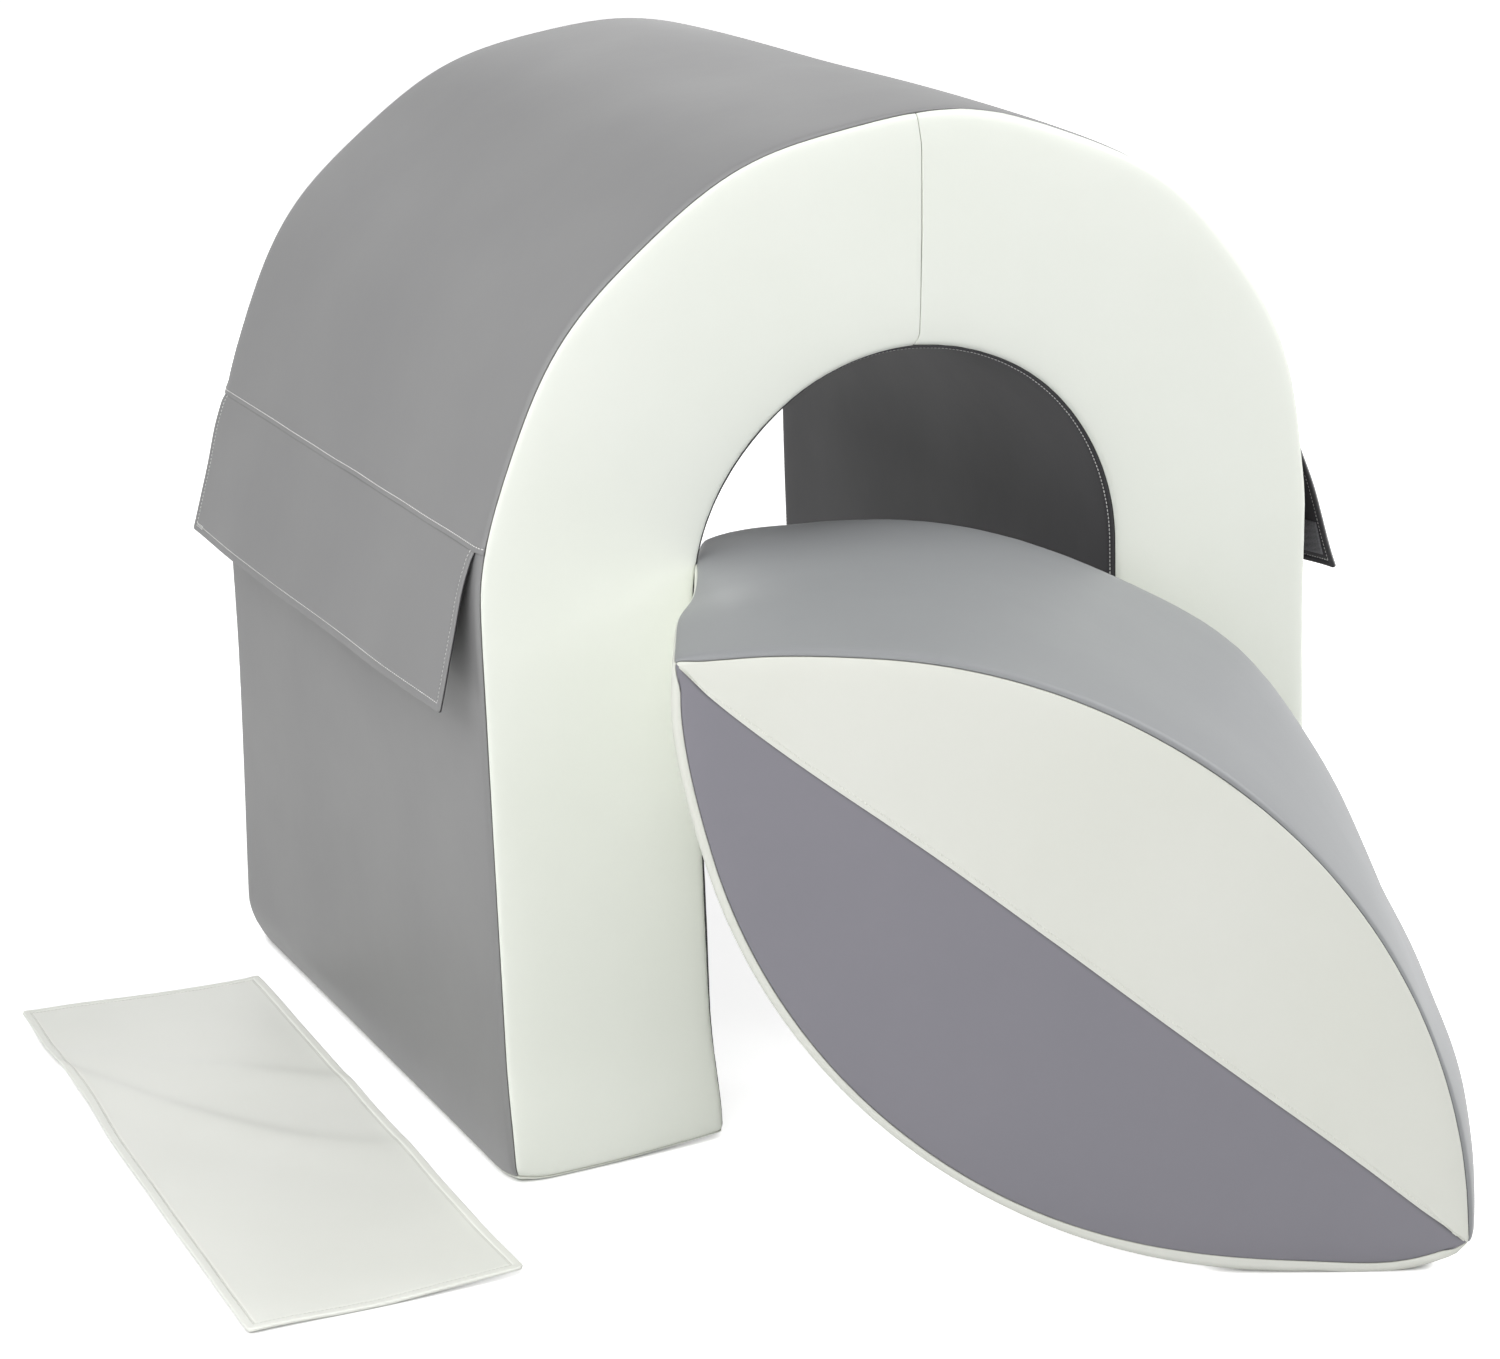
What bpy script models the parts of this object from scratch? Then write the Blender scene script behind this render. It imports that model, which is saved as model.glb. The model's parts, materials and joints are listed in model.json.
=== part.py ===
"""Covered-foam play set: an arched crawl tunnel with a flap on each side, a leaf-shaped rocker
that leans in the tunnel's mouth, and a loose connecting panel on the floor beside it.

Lengths are in metres and +Z is up. The tunnel runs along Y with its front at -Y. The set stands
on Z = 0, centred over the origin.
"""

import math

import bmesh
import bpy
from mathutils import Matrix, Vector

# Cover: coated fabric, sewn with a hair's gap between neighbouring pieces.
COVER = 0.0012
GAP = 0.0003
INSET = COVER + GAP

# Tunnel: a foam wall bent into an arch on two straight legs.
OPENING = 0.410
WALL = 0.195
SPRING_HEIGHT = 0.478
TUNNEL_DEPTH = 0.674
TUNNEL_EDGE = 0.008
ARCH_STEPS = 28
EDGE_STEPS = 2

# Flaps: two plies, sewn into the seam between the top panel and the side panel.
FLAP_SEAM_RISE = 0.082
FLAP_DROP = 0.139
FLAP_END_MARGIN = 0.011
FLAP_STANDOFF = math.radians(8.8)
FLAP_BOW = 0.004
FLAP_ROWS = 6
HOOK_WIDTH = 0.030
HOOK_THICKNESS = 0.0015
HOOK_MARGIN = 0.012

# Rocker: a lens of foam between an upper arc and a belly arc.
ROCKER_LENGTH = 0.792
ROCKER_RISE = 0.188
ROCKER_BELLY = 0.2125
ROCKER_DEPTH = 0.408
ROCKER_EDGE = 0.006
ROCKER_TIP_RADIUS = 0.008
ROCKER_STEPS = 26
ROCKER_YAW = math.radians(-27.4)
ROCKER_TILT = math.radians(39.2)
ROCKER_FORWARD = 0.063
ROCKER_SEAT_GAP = 0.0017

# Connecting panel: two plies sewn round the edge, flat on the floor beside the tunnel.
PANEL_WIDTH = 0.228
PANEL_LENGTH = 0.722
PANEL_CORNER = 0.006
PANEL_TUNNEL_GAP = 0.0495
PANEL_FORWARD = 0.129
PANEL_YAW = math.radians(-1.0)

# Hidden zips: a tape in a shallow channel, a chain along its middle and a plain slider.
ZIP_SLOT = 0.010
ZIP_TAPE_WIDTH = 0.026
ZIP_TAPE = 0.0006
ZIP_CHANNEL_TOP = 0.018
ZIP_CHANNEL_FLOOR = 0.012
ZIP_CHANNEL_DEPTH = 0.0054
ZIP_CHAIN_WIDTH = 0.005
ZIP_CHAIN_HEIGHT = 0.0014
ZIP_GROOVE_CLEARANCE = 0.0006
SLIDER_LENGTH = 0.012
SLIDER_WIDTH = 0.0088
SLIDER_CHEEK = 0.0014
SLIDER_PLATE = 0.0018
SLIDER_RUNNING_GAP = 0.0003
SLIDER_REST = 0.010
FOOT_ZIP_MARGIN = 0.070
ROCKER_ZIP_LENGTH = 0.560

INNER_RADIUS = OPENING / 2
OUTER_RADIUS = INNER_RADIUS + WALL
MIDDLE_RADIUS = INNER_RADIUS + WALL / 2
HALF_DEPTH = TUNNEL_DEPTH / 2
LEFT, RIGHT = -1, 1

# Modelling tolerances: points nearer than MERGE are one point, coordinates nearer than SAME are
# equal, and NUDGE degrees keep an angle on the near side of a quarter turn.
MERGE = 0.00001
SAME = 0.000001
NUDGE = 0.000001

GREY = (0.335, 0.335, 0.340, 1.0)
CREAM = (0.830, 0.850, 0.770, 1.0)
FOAM = (0.860, 0.800, 0.560, 1.0)
TAPE = (0.200, 0.200, 0.205, 1.0)
HOOK = (0.060, 0.060, 0.065, 1.0)
NICKEL = (0.620, 0.610, 0.590, 1.0)


def clear_scene():
    for obj in list(bpy.data.objects):
        bpy.data.objects.remove(obj, do_unlink=True)


def new_collection(name):
    collection = bpy.data.collections.new(name)
    bpy.context.scene.collection.children.link(collection)
    return collection


def material(name, colour, roughness, metallic=0.0):
    made = bpy.data.materials.new(name)
    made.use_nodes = True
    shader = made.node_tree.nodes["Principled BSDF"]
    shader.inputs["Base Color"].default_value = colour
    shader.inputs["Roughness"].default_value = roughness
    shader.inputs["Metallic"].default_value = metallic
    made.diffuse_color = colour
    return made


def add_part(name, mesh, surface, parent, matrix=None):
    """A named object for one sub-part, placed in its parent's frame."""
    obj = bpy.data.objects.new(name, mesh)
    mesh.materials.append(surface)
    mesh.shade_smooth()
    mesh.set_sharp_from_angle(angle=math.radians(35))
    PARTS.objects.link(obj)
    obj.parent = parent
    if matrix is not None:
        obj.matrix_local = matrix
    return obj


def add_frame(name, parent, matrix):
    """An empty that carries parts: on the joint's axis, where the parts move."""
    empty = bpy.data.objects.new(name, None)
    empty.empty_display_size = 0.05
    PARTS.objects.link(empty)
    empty.parent = parent
    empty.matrix_local = matrix
    return empty


def thicken(obj, thickness):
    """Gives an open surface its thickness, on the side away from its normals."""
    shell = obj.modifiers.new("Thickness", "SOLIDIFY")
    shell.thickness = thickness
    shell.offset = -1.0
    shell.use_even_offset = True


def grid_bmesh(columns, rows, point):
    """A grid of columns by rows, each vertex moved to point(column, row)."""
    bm = bmesh.new()
    bmesh.ops.create_grid(bm, x_segments=len(columns) - 1, y_segments=len(rows) - 1, size=0.5)
    for vertex in bm.verts:
        column = round((vertex.co.x + 0.5) * (len(columns) - 1))
        row = round((vertex.co.y + 0.5) * (len(rows) - 1))
        vertex.co = point(columns[column], rows[row])
    bmesh.ops.remove_doubles(bm, verts=bm.verts, dist=MERGE)
    return bm


def to_mesh(bm, name):
    mesh = bpy.data.meshes.new(name)
    bm.to_mesh(mesh)
    bm.free()
    return mesh


def surface_mesh(name, columns, rows, point):
    """An open surface, whose normals point along (column direction) x (row direction)."""
    return to_mesh(grid_bmesh(columns, rows, point), name)


def swept_mesh(name, ring, stops, point):
    """A solid swept along its stops, with the closed ring as its section and capped ends."""
    bm = grid_bmesh(ring + ring[:1], stops, point)
    bmesh.ops.holes_fill(bm, edges=[edge for edge in bm.edges if edge.is_boundary])
    bmesh.ops.recalc_face_normals(bm, faces=bm.faces)
    return to_mesh(bm, name)


def prism_mesh(name, outline, low, high, place, bevel=0.0, bevelled=None):
    """A solid between two copies of a flat outline. place(a, b, c) gives the point for outline
    coordinates (a, b) at height c, and bevelled(edge) picks the edges to round."""
    bm = bmesh.new()
    base = bm.faces.new([bm.verts.new(place(a, b, low)) for a, b in outline])
    top = bmesh.ops.extrude_face_region(bm, geom=[base])["geom"]
    rise = Vector(place(0, 0, high)) - Vector(place(0, 0, low))
    moved = [item for item in top if isinstance(item, bmesh.types.BMVert)]
    bmesh.ops.translate(bm, verts=moved, vec=rise)
    bmesh.ops.recalc_face_normals(bm, faces=bm.faces)
    if bevel:
        edges = [edge for edge in bm.edges if bevelled(edge)]
        bmesh.ops.bevel(
            bm,
            geom=edges,
            offset=bevel,
            segments=2 * EDGE_STEPS,
            profile=0.5,
            affect="EDGES",
        )
    return to_mesh(bm, name)


def rectangle(low_x, high_x, low_y, high_y):
    """Outline of a rectangle, anticlockwise."""
    return [(low_x, low_y), (high_x, low_y), (high_x, high_y), (low_x, high_y)]


def edge_runs(edge, axis):
    """True where an edge is longer along the axis than the tunnel's rounding, so that it is one
    of the long edges that way."""
    one, two = edge.verts[0].co, edge.verts[1].co
    return abs(one[axis] - two[axis]) > TUNNEL_EDGE


def spread(start, end, steps):
    """Evenly spaced values from start to end, both included."""
    return [start + (end - start) * i / steps for i in range(steps + 1)]


def rounded_rectangle(width, length, radius, steps=3):
    """Corner-rounded outline about the origin, anticlockwise."""
    points = []
    for turn, (sx, sy) in enumerate([(1, 1), (-1, 1), (-1, -1), (1, -1)]):
        for angle in spread(turn * math.pi / 2, (turn + 1) * math.pi / 2, steps):
            x = sx * (width / 2 - radius) + radius * math.cos(angle)
            y = sy * (length / 2 - radius) + radius * math.sin(angle)
            points.append((x, y))
    return points


# The tunnel's wall

def wall_point(t, radius, y):
    """A point of the tunnel at a distance of radius from its middle plane or arch centre.
    t below 0 is metres down the left leg, 0 to pi is the angle over the arch from left to
    right, and t beyond pi is metres down the right leg."""
    if t < 0:
        return Vector((-radius, y, SPRING_HEIGHT + t))
    if t > math.pi:
        return Vector((radius, y, SPRING_HEIGHT - (t - math.pi)))
    return Vector((-radius * math.cos(t), y, SPRING_HEIGHT + radius * math.sin(t)))


def stations(start, end):
    """Values of t from start to end, with every step of the arch that lies between."""
    arch = [math.pi * i / ARCH_STEPS for i in range(ARCH_STEPS + 1)]
    return [start] + [t for t in arch if start + MERGE < t < end - MERGE] + [end]


def section_point(degrees, shrink=0.0):
    """(radius, y) on the wall's rounded section: 0 faces outwards, 90 to the front, 180 into
    the opening and 270 to the back. Corner centres stay put when the section shrinks."""
    angle = math.radians(degrees)
    outward = math.cos(angle)
    forward = math.sin(angle)
    quadrant = int(degrees // 90) % 4
    side = OUTER_RADIUS - TUNNEL_EDGE if quadrant in (0, 3) else INNER_RADIUS + TUNNEL_EDGE
    front = TUNNEL_EDGE - HALF_DEPTH if quadrant in (0, 1) else HALF_DEPTH - TUNNEL_EDGE
    reach = TUNNEL_EDGE - shrink
    return side + reach * outward, front - reach * forward


def face_section(middle):
    """Closed section of the cover over one face: its outer side from the seam in the middle of
    one rounded corner to the seam in the middle of the next, and back along its inner side.
    middle is the way the face looks, as in section_point."""
    trim = math.degrees(GAP / 2 / TUNNEL_EDGE)
    angles = spread(middle - 45 + trim, middle - NUDGE, EDGE_STEPS)
    angles += spread(middle, middle + 45 - trim, EDGE_STEPS)
    outer = [section_point(angle % 360) for angle in angles]
    inner = [section_point(angle % 360, COVER) for angle in angles]
    return outer + inner[::-1]


def wall_skin(name, start, end, middle, surface, parent):
    """One sewn piece of the tunnel's cover, over the face that looks the way of middle."""
    mesh = swept_mesh(
        name,
        face_section(middle),
        stations(start, end),
        lambda section, t: wall_point(t, *section),
    )
    add_part(name, mesh, surface, parent)


def build_tunnel_cover(tunnel, grey, cream):
    foot = INSET - SPRING_HEIGHT
    far_foot = math.pi - foot
    seam = math.asin(FLAP_SEAM_RISE / OUTER_RADIUS)
    crown = math.pi / 2
    crown_trim = GAP / 2 / INNER_RADIUS
    seam_trim = GAP / OUTER_RADIUS
    for name, middle in (("front", 90), ("back", 270)):
        wall_skin(name + "_panel_left", foot, crown - crown_trim, middle, cream, tunnel)
        wall_skin(name + "_panel_right", crown + crown_trim, far_foot, middle, cream, tunnel)
    wall_skin("top_panel", seam, math.pi - seam, 0, grey, tunnel)
    wall_skin("side_panel_left", foot, seam - seam_trim, 0, grey, tunnel)
    wall_skin("side_panel_right", math.pi - seam + seam_trim, far_foot, 0, grey, tunnel)
    wall_skin("inner_lining", foot, far_foot, 180, grey, tunnel)


def base_outline(inner):
    """Half of a foot's footprint, out from the zip's slot along the middle of the foot. The
    half faces outwards or, with inner set, into the opening."""
    turn = 180 if inner else 0
    way = -1 if inner else 1
    before = spread(turn - 90, turn - NUDGE, 2 * EDGE_STEPS)
    after = spread(turn, turn + 90 - NUDGE, 2 * EDGE_STEPS)
    rim = [section_point(angle % 360) for angle in before + after]
    seam = MIDDLE_RADIUS + way * GAP / 2
    slot = MIDDLE_RADIUS + way * ZIP_SLOT / 2
    end = -way * (HALF_DEPTH - FOOT_ZIP_MARGIN)
    beside_zip = [(seam, end), (slot, end), (slot, -end), (seam, -end)]
    return rim + [(seam, rim[-1][1])] + beside_zip + [(seam, rim[0][1])]


def build_foot(side, word, tunnel, surfaces):
    """The foam leg, the two halves of its base and the zip between them."""
    bottom = INSET
    top = SPRING_HEIGHT - GAP / 2
    low, high = INNER_RADIUS + INSET, OUTER_RADIUS - INSET
    outline = rectangle(low, high, INSET - HALF_DEPTH, HALF_DEPTH - INSET)
    leg = add_part(
        "foam_leg_" + word,
        prism_mesh(
            "foam_leg_" + word,
            [(side * x, y) for x, y in outline],
            bottom,
            top,
            lambda x, y, z: (x, y, z),
            TUNNEL_EDGE - INSET,
            lambda edge: edge_runs(edge, 2),
        ),
        surfaces["foam"],
        tunnel,
    )
    for half, inner in (("outer", False), ("inner", True)):
        name = "base_{}_{}".format(word, half)
        outline = [(side * x, y) for x, y in base_outline(inner)]
        mesh = prism_mesh(name, outline, 0.0, COVER, lambda x, y, z: (x, y, z))
        add_part(name, mesh, surfaces["cream"], tunnel)
    place = Matrix.Translation((side * MIDDLE_RADIUS, 0, 0))
    length = TUNNEL_DEPTH - 2 * FOOT_ZIP_MARGIN
    build_zip("zip_" + word, length, place, tunnel, leg, surfaces)


def build_foam_arch(tunnel, foam):
    low, high = INNER_RADIUS + INSET, OUTER_RADIUS - INSET
    angles = spread(0, math.pi, ARCH_STEPS)
    outer = [(-high * math.cos(t), SPRING_HEIGHT + high * math.sin(t)) for t in angles]
    inner = [(-low * math.cos(t), SPRING_HEIGHT + low * math.sin(t)) for t in reversed(angles)]
    joint = SPRING_HEIGHT + GAP / 2
    outline = [(x, max(z, joint)) for x, z in outer + inner]

    def rounded(edge):
        one, two = edge.verts[0].co, edge.verts[1].co
        on_face = abs(one.y - two.y) < SAME
        on_joint = max(one.z, two.z) < joint + MERGE
        return on_face and not on_joint

    mesh = prism_mesh(
        "foam_arch",
        outline,
        INSET - HALF_DEPTH,
        HALF_DEPTH - INSET,
        lambda x, z, y: (x, y, z),
        TUNNEL_EDGE - INSET,
        rounded,
    )
    add_part("foam_arch", mesh, foam, tunnel)


# Zips

def zip_frame_point(across, inward, along):
    return (across, along, inward)


def build_zip(name, length, matrix, parent, foam_part, surfaces):
    """A closed zip, its slider, and the groove that it lies in. In the zip's frame X runs
    across it, Y along it, and Z inwards from the outer side of the cover."""
    chain = ZIP_CHAIN_WIDTH / 2
    floor = ZIP_CHANNEL_FLOOR / 2
    lip = ZIP_CHANNEL_TOP / 2
    edge = ZIP_TAPE_WIDTH / 2
    depth = ZIP_CHANNEL_DEPTH
    half = [
        (chain, depth - ZIP_CHAIN_HEIGHT),
        (chain, depth),
        (floor, depth),
        (lip, INSET),
        (edge, INSET),
        (edge, INSET + ZIP_TAPE),
        (lip + ZIP_TAPE / 2, INSET + ZIP_TAPE),
        (floor + ZIP_TAPE / 2, depth + ZIP_TAPE),
    ]
    outline = half + [(-x, z) for x, z in reversed(half)]
    mesh = prism_mesh(name, outline, -length / 2, length / 2, zip_frame_point)
    add_part(name, mesh, surfaces["tape"], parent, matrix)

    cheek = SLIDER_WIDTH / 2 - SLIDER_CHEEK
    plate_in = depth - ZIP_CHAIN_HEIGHT - SLIDER_RUNNING_GAP
    plate_out = plate_in - SLIDER_PLATE
    half = [
        (cheek, plate_in),
        (cheek, depth - SLIDER_RUNNING_GAP),
        (SLIDER_WIDTH / 2, depth - SLIDER_RUNNING_GAP),
        (SLIDER_WIDTH / 2, plate_out),
    ]
    outline = half + [(-x, z) for x, z in reversed(half)]
    start = SLIDER_REST - length / 2
    mesh = prism_mesh(name + "_slider", outline, 0.0, SLIDER_LENGTH, zip_frame_point)
    slider_place = matrix @ Matrix.Translation((0, start, 0))
    add_part(name + "_slider", mesh, surfaces["nickel"], parent, slider_place)

    cut_half = edge + ZIP_GROOVE_CLEARANCE
    cut_end = length / 2 + ZIP_GROOVE_CLEARANCE
    cut_depth = depth + ZIP_TAPE + ZIP_GROOVE_CLEARANCE
    outline = rectangle(-cut_half, cut_half, -cut_depth, cut_depth)
    mesh = prism_mesh(name + "_groove", outline, -cut_end, cut_end, zip_frame_point)
    cutter = bpy.data.objects.new(name + "_groove", mesh)
    CUTTERS.objects.link(cutter)
    cutter.parent = parent
    cutter.matrix_local = matrix
    cutter.hide_render = True
    cutter.display_type = "WIRE"
    groove = foam_part.modifiers.new("Zip groove", "BOOLEAN")
    groove.operation = "DIFFERENCE"
    groove.object = cutter


# Flaps

def build_flap(side, word, tunnel, surfaces):
    """Two plies and a hook strip, hung from an empty on the seam. In the empty's frame the flap
    hangs down -Z and its outer side looks along X times side."""
    seam = math.asin(FLAP_SEAM_RISE / OUTER_RADIUS)
    half_thickness = COVER + GAP / 2
    axis_radius = OUTER_RADIUS + half_thickness + GAP
    axis = Vector((
        side * axis_radius * math.cos(seam),
        0,
        SPRING_HEIGHT + axis_radius * math.sin(seam),
    ))
    turn = Matrix.Rotation(-side * (seam + FLAP_STANDOFF), 4, "Y")
    hinge = add_frame("flap_{}_hinge".format(word), tunnel, Matrix.Translation(axis) @ turn)
    half_length = HALF_DEPTH - FLAP_END_MARGIN

    def flap_point(offset, y, drop):
        along = drop / FLAP_DROP
        bow = FLAP_BOW * 4 * along * (1 - along)
        return Vector((side * (bow + offset), y, -drop))

    def ply(name, offset, thickness, ends, drops, surface):
        columns = (ends * side, -ends * side)
        mesh = surface_mesh(name, columns, drops, lambda y, drop: flap_point(offset, y, drop))
        thicken(add_part(name, mesh, surface, hinge), thickness)

    drops = spread(0, FLAP_DROP, FLAP_ROWS)
    ply("flap_{}_outer".format(word), half_thickness, COVER, half_length, drops, surfaces["grey"])
    ply("flap_{}_backing".format(word), -GAP / 2, COVER, half_length, drops, surfaces["grey"])
    low = FLAP_DROP - HOOK_MARGIN
    drops = spread(low - HOOK_WIDTH, low, 2)
    inside = -half_thickness - GAP
    length = half_length - HOOK_MARGIN
    ply("flap_{}_hook_strip".format(word), inside, HOOK_THICKNESS, length, drops, surfaces["hook"])


# The rocker

def rocker_radii():
    """Radii of the upper arc and of the belly arc, from the chord and the two rises."""
    half = ROCKER_LENGTH / 2
    upper = (half**2 + ROCKER_RISE**2) / (2 * ROCKER_RISE)
    belly = (half**2 + ROCKER_BELLY**2) / (2 * ROCKER_BELLY)
    return upper, belly


def rocker_stations(below, trim):
    """(centre x, centre z, radius, angle) round the upper or the lower half of the lens, from
    the left tip to the right. Heights are from the belly arc's centre, and each tip is an arc
    that touches both long arcs. trim is the angle left out at each tip."""
    upper, belly = rocker_radii()
    apart = belly + upper - ROCKER_BELLY - ROCKER_RISE
    a = upper - ROCKER_TIP_RADIUS
    b = belly - ROCKER_TIP_RADIUS
    height = (a * a - b * b + apart * apart) / (2 * apart)
    tip_x = math.sqrt(a * a - height * height)
    tip_z = height - apart
    radius = belly if below else upper
    centre_z = 0.0 if below else -apart
    rise = abs(math.atan2(tip_z - centre_z, tip_x))
    way = -1 if below else 1
    made = []
    for angle in spread(math.pi - trim, math.pi - rise, EDGE_STEPS)[:-1]:
        made.append((-tip_x, tip_z, ROCKER_TIP_RADIUS, way * angle))
    for angle in spread(math.pi - rise, rise, ROCKER_STEPS):
        made.append((0.0, centre_z, radius, way * angle))
    for angle in spread(rise, trim, EDGE_STEPS)[1:]:
        made.append((tip_x, tip_z, ROCKER_TIP_RADIUS, way * angle))
    return made, tip_z


def rim_point(station, inset):
    x, z, radius, angle = station
    return x + (radius - inset) * math.cos(angle), z + (radius - inset) * math.sin(angle)


def edge_roll(start, end, shrink=0.0):
    """(inset, depth from the face) over part of the rocker's rounded edge. 0 degrees looks
    out of the band and 90 out of the face."""
    reach = ROCKER_EDGE - shrink
    angles = [math.radians(angle) for angle in spread(start, end, EDGE_STEPS)]
    return [(ROCKER_EDGE - reach * math.cos(a), ROCKER_EDGE - reach * math.sin(a)) for a in angles]


def build_rocker_band(name, below, surface, rocker):
    """The cover's long band over one arc, from tip to tip."""
    half_depth = ROCKER_DEPTH / 2
    seam_trim = math.degrees(GAP / 2 / ROCKER_EDGE)

    def across(shrink):
        roll = edge_roll(45 - seam_trim, 0, shrink)
        front = [(inset, depth - half_depth) for inset, depth in roll]
        back = [(inset, half_depth - depth) for inset, depth in reversed(roll)]
        return front + back

    def point(section, station):
        x, z = rim_point(station, section[0])
        return Vector((x, section[1], z))

    line, _ = rocker_stations(below, GAP / 2 / ROCKER_TIP_RADIUS)
    mesh = swept_mesh(name, across(0.0) + across(COVER)[::-1], line, point)
    add_part(name, mesh, surface, rocker)


def build_rocker_face(name, below, back, surface, rocker):
    """Half of a flat face, from the long seam out to the seam in the rounded edge. At the back
    the long seam opens into a slot for the zip."""
    half_depth = ROCKER_DEPTH / 2
    line, seam_z = rocker_stations(below, 0.0)
    away = -1 if below else 1
    seam_trim = math.degrees(GAP / 2 / ROCKER_EDGE)

    def across(shrink):
        flat = [(share, ROCKER_EDGE, shrink) for share in (0.0, 0.5)]
        return flat + [(1.0, *bend) for bend in edge_roll(90, 45 + seam_trim, shrink)]

    def point(section, station):
        share, inset, depth = section
        x, z = rim_point(station, inset)
        slot = ZIP_SLOT if back and abs(x) < ROCKER_ZIP_LENGTH / 2 else GAP
        seam = seam_z + away * slot / 2
        z = seam + (z - seam) * share
        if away * (z - seam_z) < GAP / 2:
            z = seam_z + away * GAP / 2
        y = half_depth - depth if back else depth - half_depth
        return Vector((x, y, z))

    mesh = swept_mesh(name, across(0.0) + across(COVER)[::-1], line, point)
    add_part(name, mesh, surface, rocker)


def build_rocker_foam(rocker, foam):
    half_depth = ROCKER_DEPTH / 2
    upper, _ = rocker_stations(False, 0.0)
    lower, _ = rocker_stations(True, 0.0)
    rim = upper + lower[::-1][1:-1]
    outline = [rim_point(station, INSET) for station in rim]
    mesh = prism_mesh(
        "rocker_foam",
        outline,
        INSET - half_depth,
        half_depth - INSET,
        lambda x, z, y: (x, y, z),
        ROCKER_EDGE - INSET,
        lambda edge: not edge_runs(edge, 1),
    )
    return add_part("rocker_foam", mesh, foam, rocker)


def rocker_matrix():
    """The rocker's frame: on the belly arc's centre line at mid-depth, X along the chord down
    to the right tip. Its raised left tip leans on the left leg's inner front corner: the seat
    gap is measured at the straight leg, and the arch, which has begun to close in beside the
    tip, leaves 0.3 mm of it. The back face stands in front of the right leg's corner."""
    _, belly = rocker_radii()
    along = Vector((math.cos(ROCKER_YAW), math.sin(ROCKER_YAW), 0))
    inward = Vector((-math.sin(ROCKER_YAW), math.cos(ROCKER_YAW), 0))
    corner_x = INNER_RADIUS + TUNNEL_EDGE
    corner_y = TUNNEL_EDGE - HALF_DEPTH
    right = Vector((corner_x, corner_y, 0))
    left = Vector((-corner_x, corner_y, 0))
    back_plane = right.dot(inward) - TUNNEL_EDGE - ROCKER_FORWARD
    left_limit = left.dot(along) + TUNNEL_EDGE + ROCKER_SEAT_GAP
    place = along * (left_limit + belly) + inward * (back_plane - ROCKER_DEPTH / 2)
    place.z = belly
    turn = Matrix.Rotation(ROCKER_YAW, 4, "Z") @ Matrix.Rotation(ROCKER_TILT, 4, "Y")
    return Matrix.Translation(place) @ turn


def build_rocker(root, surfaces):
    rocker = add_frame("rocker_axis", root, rocker_matrix())
    foam = build_rocker_foam(rocker, surfaces["foam"])
    build_rocker_band("rocker_upper_band", False, surfaces["grey"], rocker)
    build_rocker_band("rocker_lower_band", True, surfaces["cream"], rocker)
    for word, back in (("front", False), ("back", True)):
        build_rocker_face("rocker_{}_upper".format(word), False, back, surfaces["cream"], rocker)
        build_rocker_face("rocker_{}_lower".format(word), True, back, surfaces["grey"], rocker)
    _, seam_z = rocker_stations(True, 0.0)
    zip_turn = Matrix(((0, -1, 0, 0), (0, 0, -1, 0), (1, 0, 0, 0), (0, 0, 0, 1)))
    place = Matrix.Translation((0, ROCKER_DEPTH / 2, seam_z)) @ zip_turn
    build_zip("rocker_zip", ROCKER_ZIP_LENGTH, place, rocker, foam, surfaces)


# The connecting panel

def build_panel(root, surfaces):
    """Two plies, the lower one on the floor."""
    x = -OUTER_RADIUS - PANEL_TUNNEL_GAP - PANEL_WIDTH / 2
    place = Matrix.Translation((x, -PANEL_FORWARD, 0)) @ Matrix.Rotation(PANEL_YAW, 4, "Z")
    panel = add_frame("panel_frame", root, place)
    outline = rounded_rectangle(PANEL_WIDTH, PANEL_LENGTH, PANEL_CORNER)
    for name, low in (("panel_lower_ply", 0.0), ("panel_upper_ply", INSET)):
        mesh = prism_mesh(name, outline, low, low + COVER, lambda x, y, z: (x, y, z))
        add_part(name, mesh, surfaces["cream"], panel)


def centre_set(root):
    """Moves the set so that its box is centred over the origin."""
    bpy.context.view_layer.update()
    graph = bpy.context.evaluated_depsgraph_get()
    points = []
    for obj in PARTS.objects:
        if obj.type == "MESH":
            solid = obj.evaluated_get(graph)
            points += [solid.matrix_world @ vertex.co for vertex in solid.data.vertices]
    for axis in (0, 1):
        values = [point[axis] for point in points]
        root.location[axis] = -(min(values) + max(values)) / 2
    bpy.context.view_layer.update()


clear_scene()
PARTS = new_collection("play_set")
CUTTERS = new_collection("cutters")
SURFACES = {
    "grey": material("grey_cover", GREY, 0.50),
    "cream": material("cream_cover", CREAM, 0.48),
    "foam": material("foam", FOAM, 0.95),
    "tape": material("zip_tape", TAPE, 0.80),
    "hook": material("hook_strip", HOOK, 0.95),
    "nickel": material("slider_metal", NICKEL, 0.30, 1.0),
}
ROOT = add_frame("play_set_frame", None, Matrix.Identity(4))
build_foam_arch(ROOT, SURFACES["foam"])
build_tunnel_cover(ROOT, SURFACES["grey"], SURFACES["cream"])
for SIDE, WORD in ((LEFT, "left"), (RIGHT, "right")):
    build_foot(SIDE, WORD, ROOT, SURFACES)
    build_flap(SIDE, WORD, ROOT, SURFACES)
build_rocker(ROOT, SURFACES)
build_panel(ROOT, SURFACES)
centre_set(ROOT)
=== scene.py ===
"""How the covered-foam play set looks: an arched crawl tunnel with two flaps, a leaf-shaped
rocker leaning in its mouth, and a loose connecting panel on the floor.

Lengths are in metres, +Z is up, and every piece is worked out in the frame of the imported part.
"""
import json
import math

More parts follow.
